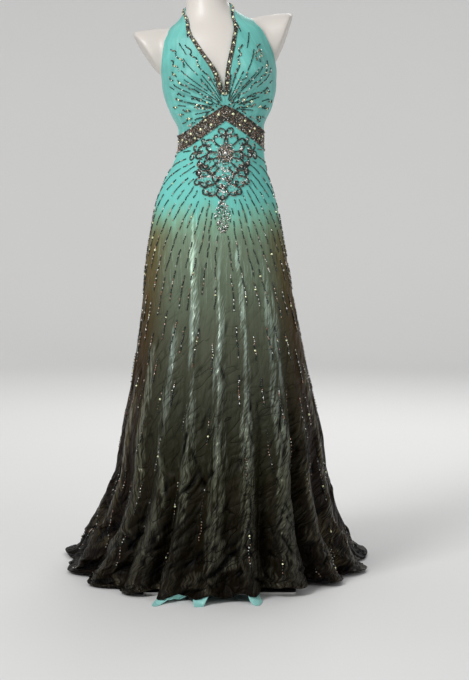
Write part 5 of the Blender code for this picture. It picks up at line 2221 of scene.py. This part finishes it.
class Stroke(NamedTuple):
    """A path on the medallion, with its heading in radians from upright."""

    x: Array
    z: Array
    heading: Array

    @classmethod
    def walk(
        cls, x: float, z: float, heading: float, length: float, sweep: float, curl: float, steps: int = 50,
    ) -> "Stroke":
        """Walks a path that turns along its length and curls up at its end.

        Args:
            x: Where it starts, across.
            z: Where it starts, upwards.
            heading: Its first heading in degrees from upright.
            length: Its length.
            sweep: Degrees that it turns along its length.
            curl: Degrees that it turns besides, most of them at its end.
            steps: Points along it.

        Returns:
            The path.
        """
        t = (np.arange(steps) + 0.5) / steps
        way = np.radians(heading + np.cumsum((sweep + curl * 3 * t**2) / steps))
        across, up = np.cumsum(np.sin(way)), np.cumsum(np.cos(way))
        return cls(x + across * length / steps, z + up * length / steps, way)

    def beside(self, away: float) -> tuple[Array, Array]:
        """The line that runs beside the path."""
        return self.x + np.cos(self.heading) * away, self.z - np.sin(self.heading) * away


@dataclass
class Medallion:
    """A scrolled ornament of beads over the midriff, with a tail of cut stones."""

    skirt: Skirt
    centre: float = 1.088
    radius: float = 0.115
    leaf_at: int = 15
    leaf_turn: float = 55.0
    leaf_length: float = 0.030
    leaf_curl: float = 300.0
    apart: float = 0.0013
    end_stone: float = 0.0046
    taller: float = 1.15
    tail_width: float = 0.0150
    tail_top: float = -0.116
    tail_length: float = 0.080
    small_stones: tuple[float, float] = (0.0026, 0.0050)

    def place(self, x: Array, z: Array) -> tuple[Array, Array]:
        """Ring angle and hang of a place measured from the medallion's centre."""
        return np.degrees(np.asarray(x) / self.radius), self.centre + np.asarray(z)

    def build(self) -> None:
        """Sews the scrolls with their leaves, the rosette, the clusters and the tail."""
        needle = self.skirt.needle()
        for row in MEDALLION:
            stem = Stroke.walk(*row)
            k, side = self.leaf_at, -math.copysign(1.0, row.curl)
            heading = math.degrees(stem.heading[k]) + side * self.leaf_turn
            curl = side * self.leaf_curl
            self.sew(needle, stem)
            self.sew(needle, Stroke.walk(stem.x[k], stem.z[k], heading, self.leaf_length, 0.0, curl))
        self.rosette(needle)
        self.clusters(needle)
        needle.finish("medallion", BEADS, SILVER, 110)
        self.tail()

    def sew(self, needle: Needle, stroke: Stroke) -> None:
        """Sews a stroke and its mirror image: dark bugles, with bright beads along one side.

        Args:
            needle: What sews it.
            stroke: The stroke.
        """
        for side in (-1, 1):
            for shift, strand in ((-self.apart, OUTLINE), (self.apart, CORE)):
                x, z = stroke.beside(shift)
                needle.line(*self.place(side * x, z), strand, self.below_band)
            needle.stone(*self.place(side * stroke.x[-1], stroke.z[-1]), self.end_stone)

    def below_band(self, u: Array, v: Array) -> Array:
        """Whether a place lies clear below the band."""
        return v < self.skirt.cut.band.low(u) - 0.004

    def rosette(self, needle: Needle) -> None:
        """Rings of beads about a large stone, with stones between them.

        Args:
            needle: What sews it.
        """
        for radius in (0.0075, 0.0115, 0.0155, 0.0195):
            turn = np.linspace(0, 2 * math.pi, 50)
            x, z = radius * np.cos(turn), radius * self.taller * np.sin(turn)
            needle.line(*self.place(x, z), RING)
        for count, radius, size in ((1, 0.0, 0.0090), (6, 0.0135, 0.0036), (10, 0.0225, 0.0038)):
            for k in range(count):
                turn = 2 * math.pi * k / count + 0.3
                x, z = radius * math.cos(turn), radius * self.taller * math.sin(turn)
                needle.stone(*self.place(x, z), size)

    def clusters(self, needle: Needle) -> None:
        """Silver stones in clusters between the scrolls, and loose silver beads in the gaps.

        Args:
            needle: What sews them.
        """
        dice = np.random.default_rng(17)
        for x, z, spread, count in CLUSTERS:
            for side in {-1, 1} if x else {1}:
                for _ in range(count):
                    away = dice.normal(0, spread / 2)
                    place = self.place(side * x + away, z + dice.normal(0, spread / 2))
                    needle.stone(*place, float(dice.uniform(*self.small_stones)))
        for count, wide, tall, middle, bright in LOOSE_BEADS:
            turn, far = dice.uniform(0, 2 * math.pi, count), np.sqrt(dice.uniform(0, 1, count))
            u, v = self.place(wide * far * np.cos(turn), middle + tall * far * np.sin(turn))
            clear = self.below_band(u, v)
            needle.scatter(u[clear], v[clear], 0.7, bright, 18 + count)

    def tail(self) -> None:
        """The cluster of cut stones that hangs below the medallion."""
        needle = self.skirt.needle()
        dice = np.random.default_rng(8)
        for count, stones in ((230, False), (58, True)):
            for share in (np.arange(count) + 0.5) / count:
                wide = self.tail_width * math.sin(math.pi * (0.10 + 0.80 * share))
                x, z = dice.uniform(-wide, wide), self.tail_top - self.tail_length * share
                u, v = self.place(np.array([x]), np.array([z]))
                if stones:
                    needle.stone(u, v, float(dice.uniform(*self.small_stones)))
                else:
                    needle.scatter(u, v, 0.5, 0.35, 200 + int(1000 * share))
        needle.finish("medallion_tail", BEADS, SILVER, 120)


@dataclass
class CupSpray:
    """Rays of beads that burst from the point of the band over both cups."""

    bodice: Bodice
    apex: float = 1.196
    radius: float = 0.150
    stone: float = 0.0058
    steps: int = 70
    turn_apart: float = 1.8
    reach_apart: float = 0.10

    def build(self) -> None:
        """Sews the rays of both cups."""
        needle = Needle(self.bodice.ground(), self.bodice.thick / 2)
        for side in (-1, 1):
            for k, row in enumerate(CUP_RAYS):
                self.ray(needle, row, k, side)
        needle.finish("cup_spray", BEADS, STONES, 130)

    def ray(self, needle: Needle, row: Ray, number: int, side: int) -> None:
        """One ray, its bearing and length a little different on each side.

        Args:
            needle: What sews it.
            row: The ray.
            number: Its place in the table.
            side: 1 for the wearer's left, -1 for the right.
        """
        turn = self.turn_apart * math.sin(number * 2.3) if side > 0 else 0.0
        bearing = math.radians(row.bearing + turn)
        reach = (row.end - row.start) * (1 + self.reach_apart * side * math.cos(number * 1.7))
        t = np.linspace(0, 1, self.steps)
        far = row.start + reach * t
        phase = 2 * math.pi * row.waves * (t + 0.06 * np.sin(9 * t)) + number
        wave = row.swing * (0.6 + 0.4 * t) * np.sin(phase)
        x = far * math.sin(bearing) + wave * math.cos(bearing)
        z = far * math.cos(bearing) - wave * math.sin(bearing)
        u, v = side * np.degrees(x / self.radius), self.apex + z
        keep = self.bodice.cut.holds
        needle.line(u, v, THICK if row.swing else FINE, keep)
        at = int(row.stone * (self.steps - 1))
        if row.stone and keep(u[at], v[at]):
            needle.stone(u[at], v[at], self.stone)


@dataclass
class Lining:
    """The strip of lining that rolls out below the front hem."""

    skirt: SkirtCut
    thick: float = 0.0012
    under: float = 0.0016
    slack: float = 0.0022
    rounded: float = 1.45
    shows: tuple[tuple[float, float, float], ...] = (
        (-20.9, 3.6, 0.95), (-15.4, 3.4, 0.50), (-6.6, 3.8, 1.05), (14.3, 4.8, 1.30),
    )

    def build(self) -> None:
        """Makes the strip."""
        hidden = curve(np.arange(6.0), np.array([0, 0.28, 0.55, 0.80, 0.86, 0.92]))
        shown = curve(np.arange(6.0), np.array([0, 0.28, 0.55, 0.80, 1.02, 1.60]))
        angle, row = np.meshgrid(np.linspace(-24.2, 22.0, 190), np.linspace(0, 5, 44))
        show = np.zeros(angle.shape)
        for centre, half_width, reach in self.shows:
            lobe = self.rounded * hump((angle - centre) / half_width)
            show += reach * np.minimum(1.0, lobe)
        share = hidden(row) * (1 - show) + shown(row) * show
        knee = self.skirt.KNEE
        hang = knee - (knee + self.skirt.run(angle)) * share
        net = Ground(self.skirt.base, self.skirt.relief.read).net(angle, hang)
        net.rise = net.rise - (self.under + SEAM_GAP + self.slack * np.minimum(share, 1))
        mesh = net.shell("lining_hem_satin", self.thick, coarse=3)
        piece = add_piece(mesh, LINING, replaces=["lining_hem"])
        net.area()


# ---- form and stand


class Hip(NamedTuple):
    """A section of the form below the waist, where it leaves the skirt."""

    height: float
    half_width: float
    front: float
    back: float


FORM_HIPS = table(
    Hip,
    (0.8, 0.143, 0.09, 0.108), (0.86, 0.152, 0.098, 0.118), (0.92, 0.15, 0.102, 0.119),
    (0.97, 0.143, 0.099, 0.108), (1.02, 0.1285, 0.095, 0.095),
)


class ArmSection(NamedTuple):
    """An oval section of the shoulder, at one distance from the figure's centre plane."""

    out: float
    height: float
    half_tall: float
    half_deep: float
    centre_y: float


ARM_SECTIONS = table(
    ArmSection,
    (0.04, 1.37, 0.036, 0.04, 0.018), (0.08, 1.368, 0.0475, 0.046, 0.018),
    (0.115, 1.365, 0.055, 0.05, 0.016), (0.15, 1.362, 0.059, 0.053, 0.012),
    (0.18, 1.36, 0.06, 0.053, 0.008), (0.23, 1.356, 0.058, 0.05, 0.004),
)


@dataclass
class DressForm:
    """The limbless form: neck, shoulders cut off at the arm line, bust, waist and hips."""

    figure: Figure
    ease_in: float = 0.0028
    top: float = 1.545
    bottom: float = 0.800
    arm_cut_top: tuple[float, float] = (0.2075, 1.412)
    arm_cut_low: tuple[float, float] = (0.143, 1.298)
    arm_cut_forward: float = 0.10
    right_cut_in: float = 0.013
    voxel: float = 0.0045
    round_passes: int = 26
    end_heights: tuple[float, float] = (0.012, 0.008)

    def ring(self, height: float, angles: Array) -> Array:
        """One ring of the torso: the figure less its ease, or its own hips where the skirt flares.

        Args:
            height: Height of the ring.
            angles: Ring angles in degrees.

        Returns:
            The ring's points.
        """
        low = float(ease((height - 0.97) / 0.05))
        figure = self.figure

        def between(name: str) -> float:
            """A reach that passes from the hips' table to the figure's."""
            hips = float(track(FORM_HIPS, name)(height))
            return hips * (1 - low) + (float(getattr(figure, name)(height)) - self.ease_in) * low

        turned = np.radians(angles)
        forward = np.cos(turned)
        bust = figure.bust(angles, height)
        reach = np.where(forward > 0, between("front"), between("back")) + bust
        x = (between("half_width") + bust) * np.sin(turned)
        return figure.posed(x, -reach * forward, np.full(len(angles), height))

    def loft(self, rings: Sequence[Array]) -> bmesh.types.BMesh:
        """Makes a closed solid through rings of points, with flat ends.

        Args:
            rings: Rings of points, each with as many.

        Returns:
            The solid.
        """
        bm = bmesh.new()
        loops = [[bm.verts.new(point) for point in ring] for ring in rings]
        count = len(loops[0])
        for low, high in zip(loops, loops[1:]):
            for j in range(count):
                k = (j + 1) % count
                bm.faces.new((low[j], low[k], high[k], high[j]))
        bm.faces.new(loops[0][::-1])
        bm.faces.new(loops[-1])
        bmesh.ops.recalc_face_normals(bm, faces=bm.faces)
        return bm

    def torso(self) -> bmesh.types.BMesh:
        """Neck, chest, waist and hips as one loft."""
        angles = np.linspace(-180, 180, 97)[:-1]
        low, high = self.end_heights
        levels = np.linspace(self.bottom + low, self.top - high, 150)
        rings = [self.ring(float(height), angles) for height in levels]
        for at, rise in ((0, -low), (-1, high)):
            ring = rings[at]
            centre = ring.mean(axis=0)
            radius = np.linalg.norm(ring - centre, axis=1, keepdims=True)
            end = centre + (ring - centre) * (1 - abs(rise) / radius)
            end[:, 2] += rise
            rings.insert(0 if at == 0 else len(rings), end)
        return self.loft(rings)

    def shoulder(self, side: int) -> bmesh.types.BMesh:
        """A shoulder, cut off flat at the arm line.

        Args:
            side: 1 for the wearer's left, -1 for the right.

        Returns:
            The shoulder as a closed solid.
        """
        turn = np.linspace(0, 2 * math.pi, 65)[:-1]
        rings = []
        for out in np.linspace(ARM_SECTIONS[0].out, ARM_SECTIONS[-1].out, 40):
            height, tall, deep, middle = (track(ARM_SECTIONS, key)(out) for key in ArmSection._fields[1:])
            y, z = middle + deep * np.cos(turn), height + tall * np.sin(turn)
            rings.append(np.stack([np.full(len(turn), side * out), y, z], axis=-1))
        bm = self.loft(rings)
        (top_x, top_z), (low_x, low_z) = self.arm_cut_top, self.arm_cut_low
        top_x -= self.right_cut_in if side < 0 else 0.0
        along = Vector((side * (top_x - low_x), 0, top_z - low_z)).normalized()
        normal = Vector((along.z * side, -self.arm_cut_forward, -along.x * side)).normalized()
        geometry = bm.verts[:] + bm.edges[:] + bm.faces[:]
        point = Vector((side * top_x, 0, top_z))
        cut = bmesh.ops.bisect_plane(bm, geom=geometry, plane_co=point, plane_no=normal, clear_outer=True)
        rim = [edge for edge in cut["geom_cut"] if isinstance(edge, bmesh.types.BMEdge)]
        bmesh.ops.holes_fill(bm, edges=rim, sides=0)
        for vert in bm.verts:
            x, y, z = (np.float64(part) for part in vert.co)
            vert.co = self.figure.posed(x, y, z)
        bmesh.ops.recalc_face_normals(bm, faces=bm.faces)
        return bm

    def build(self) -> None:
        """Joins torso and shoulders into one smooth skin."""
        whole = bpy.data.meshes.new("form_parts")
        joined = bmesh.new()
        for part in (self.torso(), self.shoulder(1), self.shoulder(-1)):
            part.to_mesh(whole)
            part.free()
            joined.from_mesh(whole)
        joined.to_mesh(whole)
        joined.free()
        raw = linked("form_parts", whole)
        remesh = raw.modifiers.new("Skin", "REMESH")
        remesh.mode, remesh.voxel_size = "VOXEL", self.voxel
        smooth = raw.modifiers.new("Round", "SMOOTH")
        smooth.factor, smooth.iterations = 0.5, self.round_passes
        depsgraph = bpy.context.evaluated_depsgraph_get()
        mesh = bpy.data.meshes.new_from_object(raw.evaluated_get(depsgraph))
        bpy.data.objects.remove(raw, do_unlink=True)
        mesh.name = "form_skin"
        mesh.materials.clear()
        add_piece(mesh, SHELL, replaces=["dress_form"])


class Stand:
    """The steel base, pole, collar and flange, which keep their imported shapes."""

    NODES = ("stand_base", "stand_pole", "pole_collar", "form_flange")

    def dress(self) -> None:
        """Gives each node its finish."""
        for name in self.NODES:
            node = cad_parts[name]
            node.data.materials.clear()
            node.data.materials.append(STEEL.material())
            log.info("%s: satin steel", name)


# ---- studio


@dataclass
class Studio:
    """A pale floor, soft light and the camera."""

    camera_at: tuple[float, float, float] = (0.0368, -4.3817, 0.9487)
    camera_pitch: float = -4.325
    focal_pixels: float = 1722.7
    frame_height: int = 680
    flat_radius: float = 6.0
    wall_radius: float = 9.5
    wall_height: float = 3.4

    def build(self) -> None:
        """Makes the floor, the lights, the surroundings and the camera."""
        self.floor()
        self.light("key", (-2.1, -2.9, 3.3), (0.0, 0.0, 1.0), (1.2, 1.9), 122.0)
        self.light("fill", (3.2, -3.2, 2.0), (0.0, 0.0, 0.9), (2.2, 2.2), 27.0)
        self.light("back", (1.2, 3.6, 3.2), (0.0, 0.2, 0.9), (2.4, 1.6), 45.0)
        self.light("wash", (0.0, 3.0, 5.2), (0.0, 7.0, 0.6), (9.0, 2.0), 175.0)
        self.surroundings()
        self.camera()

    def floor(self) -> None:
        """A round floor under the part that rises all round into a seamless backdrop."""
        rise = np.linspace(0, 1, 28)
        wall = self.flat_radius + (self.wall_radius - self.flat_radius) * rise
        out = np.concatenate([[0.4, 1.5, 3.5], wall])[:, None]
        height = np.concatenate([[0.0, 0.0, 0.0], self.wall_height * rise**2.2])[:, None]
        turn = np.arange(96) * 2 * math.pi / 96
        level = np.broadcast_to(height, (len(out), 96))
        rings = np.stack([out * np.cos(turn), out * np.sin(turn), level], axis=-1)
        i, j = np.meshgrid(np.arange(len(out) - 1), np.arange(96), indexing="ij")
        k = (j + 1) % 96
        faces = np.stack([i * 96 + j, (i + 1) * 96 + j, (i + 1) * 96 + k, i * 96 + k], axis=-1)
        middle = np.arange(96)[None]
        mesh = net_mesh("studio_floor", rings.reshape(-1, 3), [faces.reshape(-1, 4), middle])
        mesh.materials.append(FLOOR.material())
        mesh.shade_smooth()
        floor = linked("studio_floor", mesh)

    def light(
        self, name: str, at: Sequence[float], target: Sequence[float], size: Sequence[float], power: float,
    ) -> None:
        """A soft rectangular light.

        Args:
            name: Name of the light.
            at: Where it stands.
            target: What it points at.
            size: Its width and height.
            power: Its power in watts.
        """
        lamp = bpy.data.lights.new(name, "AREA")
        lamp.shape, lamp.size, lamp.size_y = "RECTANGLE", *size
        lamp.energy = power
        holder = linked(name, lamp)
        holder.location = at
        holder.rotation_euler = (Vector(target) - Vector(at)).to_track_quat("-Z", "Y").to_euler()

    def surroundings(self) -> None:
        """Even pale light from all round."""
        world = bpy.data.worlds.new("studio")
        world.use_nodes = True
        background = world.node_tree.nodes["Background"]
        background.inputs["Color"].default_value = (0.86, 0.87, 0.88, 1.0)
        background.inputs["Strength"].default_value = 0.36
        bpy.context.scene.world = world

    def camera(self) -> None:
        """The camera, level with the hips and pitched a little down."""
        lens = bpy.data.cameras.new("camera")
        lens.sensor_width = 36.0
        lens.lens = self.focal_pixels * lens.sensor_width / self.frame_height
        camera = linked("camera", lens)
        camera.location = self.camera_at
        camera.rotation_euler = (math.radians(90 + self.camera_pitch), 0.0, 0.0)
        bpy.context.scene.camera = camera
        bpy.context.scene.view_settings.view_transform = "Standard"


def main() -> None:
    """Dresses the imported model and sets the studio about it."""
    logging.basicConfig(level=logging.INFO, format="%(name)s: %(message)s")
    Studio().build()
    figure, band = Figure(), BandCut()
    skirt_cut, halter = SkirtCut(figure, band), HalterCut(figure, band)
    DressForm(figure).build()
    bodice = Bodice(halter)
    bodice.build()
    NecklineTrim(halter).build()
    Waistband(figure, band).build()
    skirt = Skirt(skirt_cut)
    skirt.build()
    Lining(skirt_cut).build()
    CupSpray(bodice).build()
    SkirtBeading(skirt).build()
    Medallion(skirt).build()
    Stand().dress()


if __name__ == "__main__":
    main()
